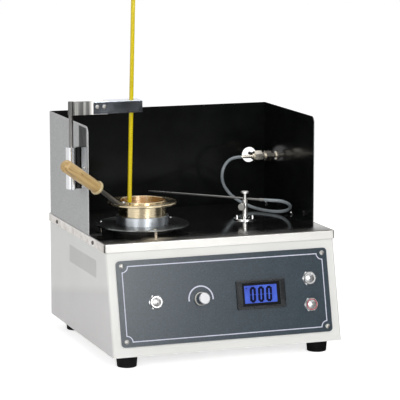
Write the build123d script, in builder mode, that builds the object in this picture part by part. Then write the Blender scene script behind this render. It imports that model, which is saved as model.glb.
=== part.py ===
from build123d import *
import math
import os

# Open-cup flash point tester: a low bench case with a sloped control panel, a bright steel deck
# carrying the heated brass cup, a three-sided wind shield, a thermometer arm and a gas applicator.
# Millimetres. +X to the operator's right, +Y to the back, +Z up. The datum is on the bench.

os.makedirs("parts", exist_ok=True)

# ---- datum -------------------------------------------------------------------------------
datum_x = 150.6  # from the case's left side to the datum
datum_y = 123.19  # from the deck's front edge to the datum

# ---- case --------------------------------------------------------------------------------
case_w = 340.0
deck_d = 280.0
body_h = 140.0
rim_h = 12.0
lean = 32.0  # how far the foot of the front stands ahead of the deck's edge
case_t = 1.5
case_corner_r = 3.0
deck_t = 1.2
deck_edge_r = 2.0
rim_gap = 0.3
seat_gap = 0.2
tray_gap = 0.2
tray_lip = 14.0

foot_h = 18.0
foot_top_r = 15.3
foot_tip_r = 13.6
foot_side = 29.0
foot_front = 26.0
foot_rear = 40.0
foot_screw_r = 2.0
foot_well_r = 5.0
foot_well = 9.0

vent_front = 46.0
vent_pitch = 4.4
vent_count = 30
vent_slot = 2.0
vent_h = 25.0
vent_drop = 42.5  # deck to the middle of the vents

rim_screw_drop = 7.0
rim_screw_front = 56.0
rim_screw_rear = 45.0
case_screw_r = 1.5

# ---- control panel -----------------------------------------------------------------------
panel_margin = 14.75  # case's side to the panel
panel_h = 118.0
panel_t = 2.0
panel_top = 12.3  # down the slope, from the top bend to the panel
panel_r = 5.0
panel_border = 14.0
screw_inset = 7.2
hole_gap = 0.2

meter_in = 118.6  # from the case's right side
meter_down = 70.9
meter_w = 72.0
meter_h = 40.0
meter_proud = 5.0
meter_bevel = 1.6
meter_corner_r = 1.8
window_w = 55.0
window_h = 32.0
window_t = 1.0
window_sunk = 1.4
module_w = 66.0
module_h = 34.0
module_back = 24.0

knob_x = 133.0
knob_down = 71.6
knob_base_r = 9.2
knob_cap_r = 8.0
knob_h = 17.0
knob_lift = 0.8
pot_bush_r = 4.6
pot_shaft_r = 3.0
pot_body_r = 12.0
pot_body_h = 11.0
pot_nut_r = 6.2
pot_nut_h = 2.0
shaft_fit = 0.06

button_bezel_r = 9.3
button_bezel_h = 4.2
button_hex_r = 10.6
button_hex_h = 1.6
button_r = 5.8
button_gap = 0.3
button_proud = 1.4
button_travel = 2.5
button_barrel_r = 7.0
button_barrel = 22.0
button_nut_r = 10.2
button_nut_h = 2.5
mode_x = 67.6
mode_down = 71.5
side_in = 44.3  # from the case's right side
start_down = 53.8
power_down = 90.8
ring_in_r = 6.5
ring_out_r = 8.1
ring_sunk = 0.9

# ---- hot plate and cup (measured from the deck's front-left corner, heights above the deck) --
cup_x = 85.0
cup_y = 93.5
plate_r = 66.0
plate_t = 2.0
plate_z = 8.0
stand_r = 2.6
stand_ring = 60.0
core_r = 40.0
core_air = 4.0
core_drop = 34.0
seat_h = 12.0
seat_wall = 2.75
cup_out_r = 33.75
cup_in_r = 31.75
cup_deep = 33.6
cup_floor = 3.0
cup_gap = 0.3
flange_r = 49.25
flange_t = 2.8
flange_below_rim = 2.3
cup_nest = 1.3  # how far the cup sits below the underside of the plate

tang_from = 36.0
tang_bend = 50.0
tang_t = 3.0
tang_w = 10.0
tang_end_w = 9.0
tang_bend_r = 20.0
rivet_at = 40.5
rivet_r = 2.6
handle_turn = 212.2  # plan direction of the handle, from the cup's centre
handle_reach = 95.0
handle_up = 27.5  # handle's near end above the rim
handle_tilt = 30.5
handle_len = 83.0
handle_r = 8.6
handle_neck_r = 7.7
handle_tip_r = 9.2
handle_flats = 17.4
ferrule_r = 10.0
ferrule_len = 5.0
spigot_r = 2.6
spigot_len = 16.0
spigot_gap = 0.1

# ---- wind shield -------------------------------------------------------------------------
shield_t = 1.5
shield_back = 271.0
shield_front = 76.0
shield_h = 152.0
shield_bend_r = 3.0
shield_corner_r = 9.0
shield_flange = 20.0
stud_in = 11.0
stud_front = 136.0
stud_rear = 238.0
stud_r = 1.5
nut_r = 2.75
nut_h = 5.0
supply_in = 26.5  # from the case's right side
supply_z = 72.7
supply_r = 11.5

# ---- thermometer carrier -----------------------------------------------------------------
rod_out = 21.5
rod_y = 83.0
rod_r = 3.1
guide_low = 66.0
guide_high = 124.0
guide_boss_r = 7.6
guide_web_t = 7.0
guide_pad = 9.0
guide_front = 76.0
guide_depth = 13.0
guide_edge = 1.0
guide_pin_low = 80.0
guide_pin_high = 110.0
guide_pin_r = 1.5
pin_r = 2.0
arm_low = 168.5
arm_h = 19.0
barrel_r = 4.0
barrel_roof = 2.0
arm_end = 9.5
arm_depth = 9.0
tongue_len = 21.0
bracket_t = 1.5
bracket_h = 17.0
bracket_end = 81.0
bracket_deep = 24.0
bracket_low = 169.0
running = 0.05
stem_r = 3.0
stem_len = 312.0
stem_x = 65.0  # thermometer's axis at the height of its bulb
stem_y = 92.5
stem_lean = 1.4
bulb_r = 2.9
bulb_len = 13.0
bulb_above = 6.4
bush_r = 5.6
bush_h = 9.0
bush_lip_r = 7.3
bush_lip = 1.5
clamp_first = 5.8
clamp_pitch = 10.1

# ---- gas applicator ----------------------------------------------------------------------
pivot_x = 253.0
pivot_y = 128.0
foot_disc_r = 17.0
foot_disc_t = 1.5
hub_r = 5.75
hub_h = 4.0
post_r = 2.75
post_bore_r = 2.35
post_h = 16.0
column_r = 3.7
column_top = 28.0
spindle_r = 2.25
spindle_low = 2.0
spindle_top = 37.6
arm_z = 30.2
tube_r = 1.4
tube_bore_r = 0.7
tube_reach = 157.0
tube_tail = 31.0
tip_len = 9.0
tip_r = 0.9
barb_r = 2.1
barb_len = 7.5
tube_angle = 134.6
grip_r = 5.7
grip_t = 2.6
lock_z = 19.3
lock_angle = 223.3
lock_r = 5.0
lock_t = 4.0
lock_from = 8.2
screw_r = 1.2
fix_ring = 13.0

# ---- gas valve on the right wing ---------------------------------------------------------
valve_y = 217.0
valve_z = 77.6
valve_in = 59.0  # from the case's right side to the tip of its barb
valve_barb_len = 17.0
valve_barb_r = 1.9
valve_step_r = 4.6
valve_step = 3.0
valve_body_af = 14.5
valve_hex = 12.0
valve_neck_r = 3.8
valve_neck = 6.0
valve_nut_af = 15.0
valve_nut = 8.0
valve_knob_r = 11.0
valve_knob_h = 14.0
valve_knob_gap = 0.6
valve_tail = 5.0  # valve's shaft past the wing
valve_stem_r = 2.0
inlet_len = 34.0
inlet_barb = 14.0
inlet_r = 3.6
hose_r = 2.3

# ---- rear inlet and inner parts ----------------------------------------------------------
inlet_x = 70.0
inlet_z = 34.0
socket_w = 24.6
socket_h = 16.6
socket_deep = 15.0
socket_wall = 1.6
socket_flange_w = 50.0
socket_flange_h = 23.0
socket_flange_t = 2.0
socket_screws = 40.0
board_in = 90.0  # from the case's right side to the board's middle
board_back = 150.0
board_w = 120.0
board_d = 90.0
board_t = 1.6
board_hole_in = 6.0
spacer_h = 8.0
spacer_r = 3.0
spacer_pin = 3.0
fin_count = 7
fin_pitch = 5.0
fin_t = 2.0
fin_long = 50.0
fin_h = 24.0
fin_web = 4.0
fins_left = 30.0
relay_w = 28.0
relay_d = 24.0
relay_right = 20.0
relay_front = 8.0
terminal_w = 50.0
terminal_d = 10.0
terminal_right = 22.0
terminal_rear = 34.0
block_h = 14.0

# ---- derived places ----------------------------------------------------------------------
x_l = -datum_x
x_r = x_l + case_w
x_m = x_l + case_w / 2
panel_w = case_w - 2 * panel_margin
meter_x = case_w - meter_in
side_x = case_w - side_in
supply_x = case_w - supply_in
valve_end = case_w - valve_in
y_f = -datum_y
y_b = y_f + deck_d
z_body = foot_h
z_rim = z_body + body_h
z_deck = z_rim + rim_h
inset = deck_t + rim_gap
slope = math.atan2(lean + inset, body_h)
front = Plane(
    origin=(x_m, y_f + inset, z_rim),
    x_dir=(1, 0, 0),
    z_dir=(0, -math.cos(slope), math.sin(slope)),
)
cup_cx = x_l + cup_x
cup_cy = y_f + cup_y
z_plate = z_deck + plate_z
z_plate_top = z_plate + plate_t
z_cup = z_plate - cup_nest
z_rim_cup = z_cup + cup_floor + cup_deep
z_flange = z_rim_cup - flange_below_rim
panel_mid = -(panel_top + panel_h / 2)


def on_front(across, down):
    """A place on the sloped front: across from the case's left side, down from the top bend."""
    return (across - case_w / 2, -down)


def at_deck(across, back):
    """A place in plan, measured from the deck's front-left corner."""
    return (x_l + across, y_f + back)


def dome_middle(radius, low, top):
    """The halfway point of a domed profile whose crown lies square across the axis."""
    rise = top - low
    ball = (radius**2 + rise**2) / (2 * rise)
    half = math.asin(radius / ball) / 2
    return (ball * math.sin(half), top - ball + ball * math.cos(half))


def pan_screw(head_r, head_h, shank_r, length):
    """A cross-recessed pan-head screw standing on its seat, its shank down."""
    brow = max(head_h * 0.4, head_h - head_r * 0.8)
    with BuildPart() as screw:
        with BuildSketch(Plane.XZ):
            with BuildLine():
                Polyline((0, -length), (shank_r, -length), (shank_r, 0), (head_r, 0), (head_r, brow))
                ThreePointArc((head_r, brow), dome_middle(head_r, brow, head_h), (0, head_h))
                Line((0, head_h), (0, -length))
            make_face()
        revolve(axis=Axis.Z)
        with BuildSketch(Plane.XY.offset(head_h)):
            Rectangle(head_r * 1.1, head_r * 0.26)
            Rectangle(head_r * 0.26, head_r * 1.1)
        extrude(amount=-head_h * 0.5, mode=Mode.SUBTRACT)
    return screw.part


# ---- case shell --------------------------------------------------------------------------
z_top_wall = z_deck - deck_t - seat_gap
rim_screw_spots = [
    (y_f + rim_screw_front, z_deck - rim_screw_drop),
    (y_b - rim_screw_rear, z_deck - rim_screw_drop),
]
with BuildPart() as base_case:
    with BuildSketch(Plane.YZ.offset(x_l + inset)):
        with BuildLine():
            Polyline(
                (y_f + inset, z_top_wall),
                (y_f + inset, z_rim),
                (y_f - lean, z_body),
                (y_b - inset, z_body),
                (y_b - inset, z_top_wall),
                close=True,
            )
        make_face()
    extrude(amount=case_w - 2 * inset)
    upright = base_case.edges().filter_by(lambda e: abs(e.tangent_at(0.5).Z) > 0.9)
    fillet(upright, case_corner_r)
    ends = base_case.faces().filter_by(Axis.Z).sort_by(Axis.Z)
    offset(amount=-case_t, openings=[ends[0], ends[-1]])
    with BuildSketch(front):
        with Locations((0, panel_mid)):
            Rectangle(panel_w - 2 * panel_border, panel_h - 2 * panel_border)
    extrude(amount=-3 * case_t, mode=Mode.SUBTRACT)
    with BuildSketch(front):
        with Locations((0, panel_mid)):
            with GridLocations(panel_w - 2 * screw_inset, panel_h - 2 * screw_inset, 2, 2):
                Circle(1.5 + hole_gap)
    extrude(amount=-3 * case_t, mode=Mode.SUBTRACT)
    vent_mid = y_f + vent_front + vent_pitch * (vent_count - 1) / 2
    with BuildSketch(Plane.YZ.offset(x_l)):
        with Locations((vent_mid, z_deck - vent_drop)):
            with GridLocations(vent_pitch, vent_h, vent_count, 1):
                Rectangle(vent_slot, vent_h)
    extrude(amount=case_w, mode=Mode.SUBTRACT)
    with BuildSketch(Plane.XZ.offset(-y_b)):
        with Locations((x_l + inlet_x, z_body + inlet_z)):
            Rectangle(socket_w + 2 * socket_wall + 0.4, socket_h + 2 * socket_wall + 0.4)
            with GridLocations(socket_screws, 1, 2, 1):
                Circle(1.5 + hole_gap)
    extrude(amount=4 * case_t, mode=Mode.SUBTRACT)
    with BuildSketch(Plane.YZ.offset(x_l)):
        with Locations(*rim_screw_spots):
            Circle(case_screw_r + hole_gap)
    extrude(amount=case_w, mode=Mode.SUBTRACT)
base_case.part.label = "base_case"
export_step(base_case.part, "parts/base_case.step")

# ---- bottom tray and feet ----------------------------------------------------------------
tray_x = case_w - 2 * (inset + case_t + tray_gap)
tray_front = y_f - lean + case_t / math.cos(slope) + case_t * math.tan(slope) + tray_gap
tray_back = y_b - inset - case_t - tray_gap
foot_places = [
    (x_l + foot_side, y_f - lean + foot_front),
    (x_r - foot_side, y_f - lean + foot_front),
    (x_l + foot_side, y_b - foot_rear),
    (x_r - foot_side, y_b - foot_rear),
]
lip_side = tray_x / 2 - case_t / 2
with BuildPart() as bottom_plate:
    with BuildSketch(Plane.XY.offset(z_body)):
        with Locations((x_m, (tray_front + tray_back) / 2)):
            RectangleRounded(tray_x, tray_back - tray_front, case_corner_r)
        with Locations(*foot_places):
            Circle(foot_screw_r + hole_gap, mode=Mode.SUBTRACT)
    extrude(amount=case_t)
    with BuildSketch(Plane.XY.offset(z_body + case_t)):
        lip_len = tray_back - tray_front - 4 * case_corner_r - 2 * tray_lip
        with Locations((x_m - lip_side, (y_f + y_b) / 2), (x_m + lip_side, (y_f + y_b) / 2)):
            Rectangle(case_t, lip_len)
        with Locations((x_m, tray_back - case_t / 2)):
            Rectangle(tray_x - 4 * case_corner_r, case_t)
    extrude(amount=tray_lip)
bottom_plate.part.label = "bottom_plate"
export_step(bottom_plate.part, "parts/bottom_plate.step")

with BuildPart() as rubber_feet:
    with Locations(*[(x, y, foot_h / 2) for x, y in foot_places]):
        Cone(foot_tip_r, foot_top_r, foot_h)
    rests = rubber_feet.faces().filter_by(Axis.Z).group_by(Axis.Z)[0]
    fillet(rests.edges(), 0.8)
    with BuildSketch(Plane.XY):
        with Locations(*foot_places):
            Circle(foot_well_r)
    extrude(amount=foot_well, mode=Mode.SUBTRACT)
    with BuildSketch(Plane.XY):
        with Locations(*foot_places):
            Circle(foot_screw_r + hole_gap)
    extrude(amount=foot_h, mode=Mode.SUBTRACT)
rubber_feet.part.label = "rubber_feet"
export_step(rubber_feet.part, "parts/rubber_feet.step")

foot_screw = pan_screw(foot_well_r - 1.0, 2.2, foot_screw_r, foot_h - foot_well + case_t + 4.0)
with BuildPart() as foot_screws:
    with Locations(*[Plane((x, y, foot_well), z_dir=(0, 0, -1)) for x, y in foot_places]):
        add(foot_screw)
foot_screws.part.label = "foot_screws"
export_step(foot_screws.part, "parts/foot_screws.step")

# ---- deck --------------------------------------------------------------------------------
stand_places = []
for turn in (-90.0, 30.0, 150.0):
    at = math.radians(turn)
    stand_places.append((cup_cx + stand_ring * math.cos(at), cup_cy + stand_ring * math.sin(at)))
pivot = at_deck(pivot_x, pivot_y)
fix_places = []
for turn in (10.3, 130.3, 250.3):
    at = math.radians(turn)
    fix_places.append((pivot[0] + fix_ring * math.cos(at), pivot[1] + fix_ring * math.sin(at)))
stud_places = [
    at_deck(stud_in, stud_front),
    at_deck(stud_in, stud_rear),
    at_deck(case_w - stud_in, stud_front),
    at_deck(case_w - stud_in, stud_rear),
]
with BuildPart() as deck_pan:
    with BuildSketch(Plane.XY.offset(z_rim)):
        with Locations((x_m, (y_f + y_b) / 2)):
            Rectangle(case_w, deck_d)
    extrude(amount=rim_h)
    fillet(deck_pan.edges().filter_by(Axis.Z), case_corner_r - 0.4)
    fillet(deck_pan.faces().sort_by(Axis.Z)[-1].edges(), deck_edge_r)
    offset(amount=-deck_t, openings=deck_pan.faces().sort_by(Axis.Z)[0])
    with BuildSketch(Plane.XY.offset(z_deck)):
        with Locations((cup_cx, cup_cy)):
            Circle(core_r + core_air)
        with Locations(*stand_places):
            Circle(1.5 + hole_gap)
        with Locations(*fix_places):
            Circle(screw_r + hole_gap)
        with Locations(*stud_places):
            Circle(stud_r + hole_gap)
    extrude(amount=-2 * deck_t, mode=Mode.SUBTRACT)
    with BuildSketch(Plane.YZ.offset(x_l)):
        with Locations(*rim_screw_spots):
            Circle(1.5 + hole_gap)
    extrude(amount=case_w, mode=Mode.SUBTRACT)
deck_pan.part.label = "deck_pan"
export_step(deck_pan.part, "parts/deck_pan.step")

rim_screw = pan_screw(2.9, 1.6, 1.5, 7.0)
y_rear = y_b - inset
inlet_spots = [(x_l + inlet_x + side * socket_screws / 2, y_rear + socket_flange_t) for side in (-1, 1)]
with BuildPart() as case_screws:
    with Locations(*[Plane((x_l, y, z), z_dir=(-1, 0, 0)) for y, z in rim_screw_spots]):
        add(rim_screw)
    with Locations(*[Plane((x_r, y, z), z_dir=(1, 0, 0)) for y, z in rim_screw_spots]):
        add(rim_screw)
    with Locations(*[Plane((x, y, z_body + inlet_z), z_dir=(0, 1, 0)) for x, y in inlet_spots]):
        add(rim_screw)
case_screws.part.label = "case_screws"
export_step(case_screws.part, "parts/case_screws.step")

# ---- control panel and what it carries -----------------------------------------------------
face = front.offset(panel_t)
mode_at = on_front(mode_x, mode_down)
start_at = on_front(side_x, start_down)
power_at = on_front(side_x, power_down)
knob_at = on_front(knob_x, knob_down)
meter_at = on_front(meter_x, meter_down)
with BuildPart() as control_panel:
    with BuildSketch(front):
        with Locations((0, panel_mid)):
            RectangleRounded(panel_w, panel_h, panel_r)
            with GridLocations(panel_w - 2 * screw_inset, panel_h - 2 * screw_inset, 2, 2):
                Circle(1.5 + hole_gap, mode=Mode.SUBTRACT)
        with Locations(meter_at):
            Rectangle(module_w + 2 * hole_gap, module_h + 2 * hole_gap, mode=Mode.SUBTRACT)
        with Locations(knob_at):
            Circle(pot_bush_r + hole_gap, mode=Mode.SUBTRACT)
        with Locations(mode_at, start_at, power_at):
            Circle(button_barrel_r + hole_gap, mode=Mode.SUBTRACT)
    extrude(amount=panel_t)
control_panel.part.label = "control_panel"
export_step(control_panel.part, "parts/control_panel.step")

panel_screw = pan_screw(3.3, 2.0, 1.5, 9.0)
with BuildPart() as panel_screws:
    with Locations(face):
        with Locations((0, panel_mid)):
            with GridLocations(panel_w - 2 * screw_inset, panel_h - 2 * screw_inset, 2, 2):
                add(panel_screw)
panel_screws.part.label = "panel_screws"
export_step(panel_screws.part, "parts/panel_screws.step")

with BuildPart() as meter_bezel:
    with BuildSketch(face):
        with Locations(meter_at):
            RectangleRounded(meter_w, meter_h, meter_corner_r)
            Rectangle(window_w + 2 * hole_gap, window_h + 2 * hole_gap, mode=Mode.SUBTRACT)
    extrude(amount=meter_proud)
    bezel_front = meter_bezel.faces().sort_by(Axis((0, 0, 0), tuple(front.z_dir)))[-1]
    chamfer(bezel_front.outer_wire().edges(), meter_bevel)
    bezel_front = meter_bezel.faces().sort_by(Axis((0, 0, 0), tuple(front.z_dir)))[-1]
    chamfer(bezel_front.inner_wires().edges(), 0.9)
meter_bezel.part.label = "meter_bezel"
export_step(meter_bezel.part, "parts/meter_bezel.step")

window_back = meter_proud - window_sunk - window_t
with BuildPart() as meter_window:
    with BuildSketch(face.offset(window_back)):
        with Locations(meter_at):
            Rectangle(window_w, window_h)
    extrude(amount=window_t)
meter_window.part.label = "meter_window"
export_step(meter_window.part, "parts/meter_window.step")

with BuildPart() as meter_module:
    with BuildSketch(face.offset(-panel_t - module_back)):
        with Locations(meter_at):
            Rectangle(module_w, module_h)
    extrude(amount=module_back + panel_t - hole_gap)
    with BuildSketch(face.offset(-2 * hole_gap)):
        with Locations(meter_at):
            Rectangle(window_w - 1.0, window_h - 1.0)
    extrude(amount=window_back + hole_gap)
meter_module.part.label = "meter_module"
export_step(meter_module.part, "parts/meter_module.step")

knob_face = Plane(face.from_local_coords((knob_at[0], knob_at[1], 0)), x_dir=face.x_dir, z_dir=face.z_dir)
bush_top = pot_nut_h + 1.0
with BuildPart() as potentiometer:
    with BuildSketch(knob_face.offset(-panel_t - pot_body_h - hole_gap)):
        Circle(pot_body_r)
    extrude(amount=pot_body_h)
    with BuildSketch(knob_face.offset(-panel_t - 2 * hole_gap)):
        Circle(pot_bush_r)
    extrude(amount=panel_t + 2 * hole_gap + bush_top)
    with BuildSketch(knob_face):
        RegularPolygon(pot_nut_r, 6)
        Circle(pot_bush_r, mode=Mode.SUBTRACT)
    extrude(amount=pot_nut_h)
    with BuildSketch(knob_face.offset(bush_top)):
        Circle(pot_shaft_r + shaft_fit)
    extrude(amount=-bush_top - panel_t - 6.0, mode=Mode.SUBTRACT)
potentiometer.part.label = "potentiometer"
export_step(potentiometer.part, "parts/potentiometer.step")

with BuildPart() as knob_shaft:
    with BuildSketch(knob_face.offset(-panel_t - 5.0)):
        Circle(pot_shaft_r)
    extrude(amount=panel_t + 5.0 + knob_lift + knob_h - 4.0)
knob_shaft.part.label = "knob_shaft"
export_step(knob_shaft.part, "parts/knob_shaft.step")

with BuildPart() as heating_knob:
    with BuildSketch(Plane(knob_face.origin, x_dir=knob_face.x_dir, z_dir=-knob_face.y_dir)):
        with BuildLine():
            Polyline(
                (0, knob_lift),
                (knob_base_r, knob_lift),
                (knob_base_r, knob_lift + 2.4),
                (knob_cap_r + 0.5, knob_lift + 3.4),
                (knob_cap_r, knob_lift + knob_h - 1.0),
                (knob_cap_r - 1.0, knob_lift + knob_h),
                (0, knob_lift + knob_h),
                close=True,
            )
        make_face()
    revolve(axis=Axis(knob_face.origin, knob_face.z_dir))
    with BuildSketch(knob_face):
        Circle(pot_bush_r + 2.4)
    extrude(amount=bush_top + 1.0, mode=Mode.SUBTRACT)
    with BuildSketch(knob_face):
        Circle(pot_shaft_r + 0.04)
    extrude(amount=knob_lift + knob_h - 3.8, mode=Mode.SUBTRACT)
    with BuildSketch(knob_face.offset(knob_lift + knob_h)):
        with Locations((0, knob_cap_r / 2)):
            Rectangle(0.9, knob_cap_r)
    extrude(amount=-0.6, mode=Mode.SUBTRACT)
heating_knob.part.label = "heating_knob"
export_step(heating_knob.part, "parts/heating_knob.step")


def push_housing(ringed):
    """A chrome push-button housing: bezel above the panel's face, barrel below it."""
    bore = button_r + button_gap
    with BuildPart() as housing:
        with BuildSketch(Plane.XZ):
            with BuildLine():
                Polyline(
                    (0, -button_barrel),
                    (button_barrel_r, -button_barrel),
                    (button_barrel_r, 0),
                    (button_bezel_r, 0),
                    (button_bezel_r, button_bezel_h * 0.5),
                    (ring_out_r + 0.2, button_bezel_h),
                    (bore, button_bezel_h),
                    (bore, -button_travel - 6.0),
                    (0, -button_travel - 6.0),
                    close=True,
                )
            make_face()
        revolve(axis=Axis.Z)
        with BuildSketch(Plane.XY):
            RegularPolygon(button_hex_r, 6)
            Circle(button_bezel_r - 0.5, mode=Mode.SUBTRACT)
        extrude(amount=button_hex_h)
        if ringed:
            with BuildSketch(Plane.XY.offset(button_bezel_h)):
                Circle(ring_out_r - 0.2)
                Circle(ring_in_r, mode=Mode.SUBTRACT)
            extrude(amount=-ring_sunk, mode=Mode.SUBTRACT)
    return housing.part


def push_cap(proud):
    """A push-button's cap, with a domed face that stands proud of its bezel."""
    low = 5.5
    top = button_bezel_h + proud
    with BuildPart() as cap:
        with BuildSketch(Plane.XZ):
            with BuildLine():
                Polyline((0, -low), (button_r, -low), (button_r, top - 1.0))
                ThreePointArc((button_r, top - 1.0), dome_middle(button_r, top - 1.0, top), (0, top))
                Line((0, top), (0, -low))
            make_face()
        revolve(axis=Axis.Z)
    return cap.part


def on_face(place):
    """The panel's face, centred on a control."""
    return Plane(face.from_local_coords((place[0], place[1], 0)), x_dir=face.x_dir, z_dir=face.z_dir)


plain_housing = push_housing(False)
ringed_housing = push_housing(True)
with BuildPart() as button_housings:
    with Locations(on_face(mode_at), on_face(start_at)):
        add(plain_housing)
    with Locations(on_face(power_at)):
        add(ringed_housing)
button_housings.part.label = "button_housings"
export_step(button_housings.part, "parts/button_housings.step")

with BuildPart() as button_nuts:
    with BuildSketch(face.offset(-panel_t)):
        with Locations(mode_at, start_at, power_at):
            RegularPolygon(button_nut_r, 6)
            Circle(button_barrel_r + 0.1, mode=Mode.SUBTRACT)
    extrude(amount=-button_nut_h)
button_nuts.part.label = "button_nuts"
export_step(button_nuts.part, "parts/button_nuts.step")

with BuildPart() as mode_button:
    with Locations(on_face(mode_at)):
        add(push_cap(button_proud + 1.2))
mode_button.part.label = "mode_button"
export_step(mode_button.part, "parts/mode_button.step")

with BuildPart() as start_button:
    with Locations(on_face(start_at)):
        add(push_cap(button_proud))
start_button.part.label = "start_button"
export_step(start_button.part, "parts/start_button.step")

with BuildPart() as power_button:
    with Locations(on_face(power_at)):
        add(push_cap(button_proud))
power_button.part.label = "power_button"
export_step(power_button.part, "parts/power_button.step")

with BuildPart() as power_ring:
    with BuildSketch(face.offset(button_bezel_h)):
        with Locations(power_at):
            Circle(ring_out_r - 0.3)
            Circle(ring_in_r + 0.1, mode=Mode.SUBTRACT)
    extrude(amount=-ring_sunk)
power_ring.part.label = "power_ring"
export_step(power_ring.part, "parts/power_ring.step")

# ---- heater and cup ------------------------------------------------------------------------
seat_in = cup_out_r + cup_gap
with BuildPart() as heater_plate:
    with BuildSketch(Plane.XY.offset(z_plate)):
        with Locations((cup_cx, cup_cy)):
            Circle(plate_r)
            Circle(seat_in, mode=Mode.SUBTRACT)
        with Locations(*stand_places):
            Circle(1.5 + hole_gap, mode=Mode.SUBTRACT)
    extrude(amount=plate_t)
    circles = heater_plate.edges().filter_by(GeomType.CIRCLE)
    rounded = circles.filter_by(lambda e: e.radius > plate_r - 0.1)
    fillet(rounded, 0.6)
heater_plate.part.label = "heater_plate"
export_step(heater_plate.part, "parts/heater_plate.step")

with BuildPart() as plate_standoffs:
    with BuildSketch(Plane.XY.offset(z_deck)):
        with Locations(*stand_places):
            Circle(stand_r)
            Circle(1.5 + hole_gap, mode=Mode.SUBTRACT)
    extrude(amount=plate_z)
plate_standoffs.part.label = "plate_standoffs"
export_step(plate_standoffs.part, "parts/plate_standoffs.step")

plate_screw = pan_screw(2.4, 1.0, 1.5, plate_z + plate_t + deck_t + 4.0)
with BuildPart() as plate_screws:
    with Locations(*[(x, y, z_plate_top) for x, y in stand_places]):
        add(plate_screw)
plate_screws.part.label = "plate_screws"
export_step(plate_screws.part, "parts/plate_screws.step")

with BuildPart() as heater_core:
    with BuildSketch(Plane.XY.offset(z_plate - core_drop)):
        with Locations((cup_cx, cup_cy)):
            Circle(core_r)
    extrude(amount=core_drop)
    with BuildSketch(Plane.XY.offset(z_plate)):
        with Locations((cup_cx, cup_cy)):
            Circle(seat_in)
    extrude(amount=-cup_nest, mode=Mode.SUBTRACT)
heater_core.part.label = "heater_core"
export_step(heater_core.part, "parts/heater_core.step")

with BuildPart() as cup_seat:
    with BuildSketch(Plane.XY.offset(z_plate_top)):
        with Locations((cup_cx, cup_cy)):
            Circle(seat_in + seat_wall)
            Circle(seat_in, mode=Mode.SUBTRACT)
    extrude(amount=seat_h)
    chamfer(cup_seat.faces().sort_by(Axis.Z)[-1].edges(), 0.5)
cup_seat.part.label = "cup_seat"
export_step(cup_seat.part, "parts/cup_seat.step")

out = (math.cos(math.radians(handle_turn)), math.sin(math.radians(handle_turn)))
cup_plane = Plane((cup_cx, cup_cy, z_cup), x_dir=(1, 0, 0), z_dir=(0, -1, 0))
flange_top = cup_floor + cup_deep - flange_below_rim
with BuildPart() as oil_cup:
    with BuildSketch(cup_plane):
        with BuildLine():
            Polyline(
                (0, 0),
                (cup_out_r - 1.5, 0),
                (cup_out_r, 1.5),
                (cup_out_r, flange_top - flange_t),
                (flange_r - 0.7, flange_top - flange_t),
                (flange_r, flange_top - flange_t + 0.7),
                (flange_r, flange_top - 0.7),
                (flange_r - 0.7, flange_top),
                (cup_out_r, flange_top),
                (cup_out_r, flange_top + flange_below_rim - 0.6),
                (cup_out_r - 0.6, flange_top + flange_below_rim),
                (cup_in_r + 0.4, flange_top + flange_below_rim),
                (cup_in_r, flange_top + flange_below_rim - 0.4),
                (cup_in_r, cup_floor + 2.0),
                (cup_in_r - 2.0, cup_floor),
                (0, cup_floor),
                close=True,
            )
        make_face()
    revolve(axis=Axis((cup_cx, cup_cy, 0), (0, 0, 1)))
    with BuildSketch(Plane.XY.offset(z_flange)):
        with Locations((cup_cx + rivet_at * out[0], cup_cy + rivet_at * out[1])):
            Circle(1.5 + 0.1)
    extrude(amount=-flange_t, mode=Mode.SUBTRACT)
oil_cup.part.label = "oil_cup"
export_step(oil_cup.part, "parts/oil_cup.step")

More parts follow.
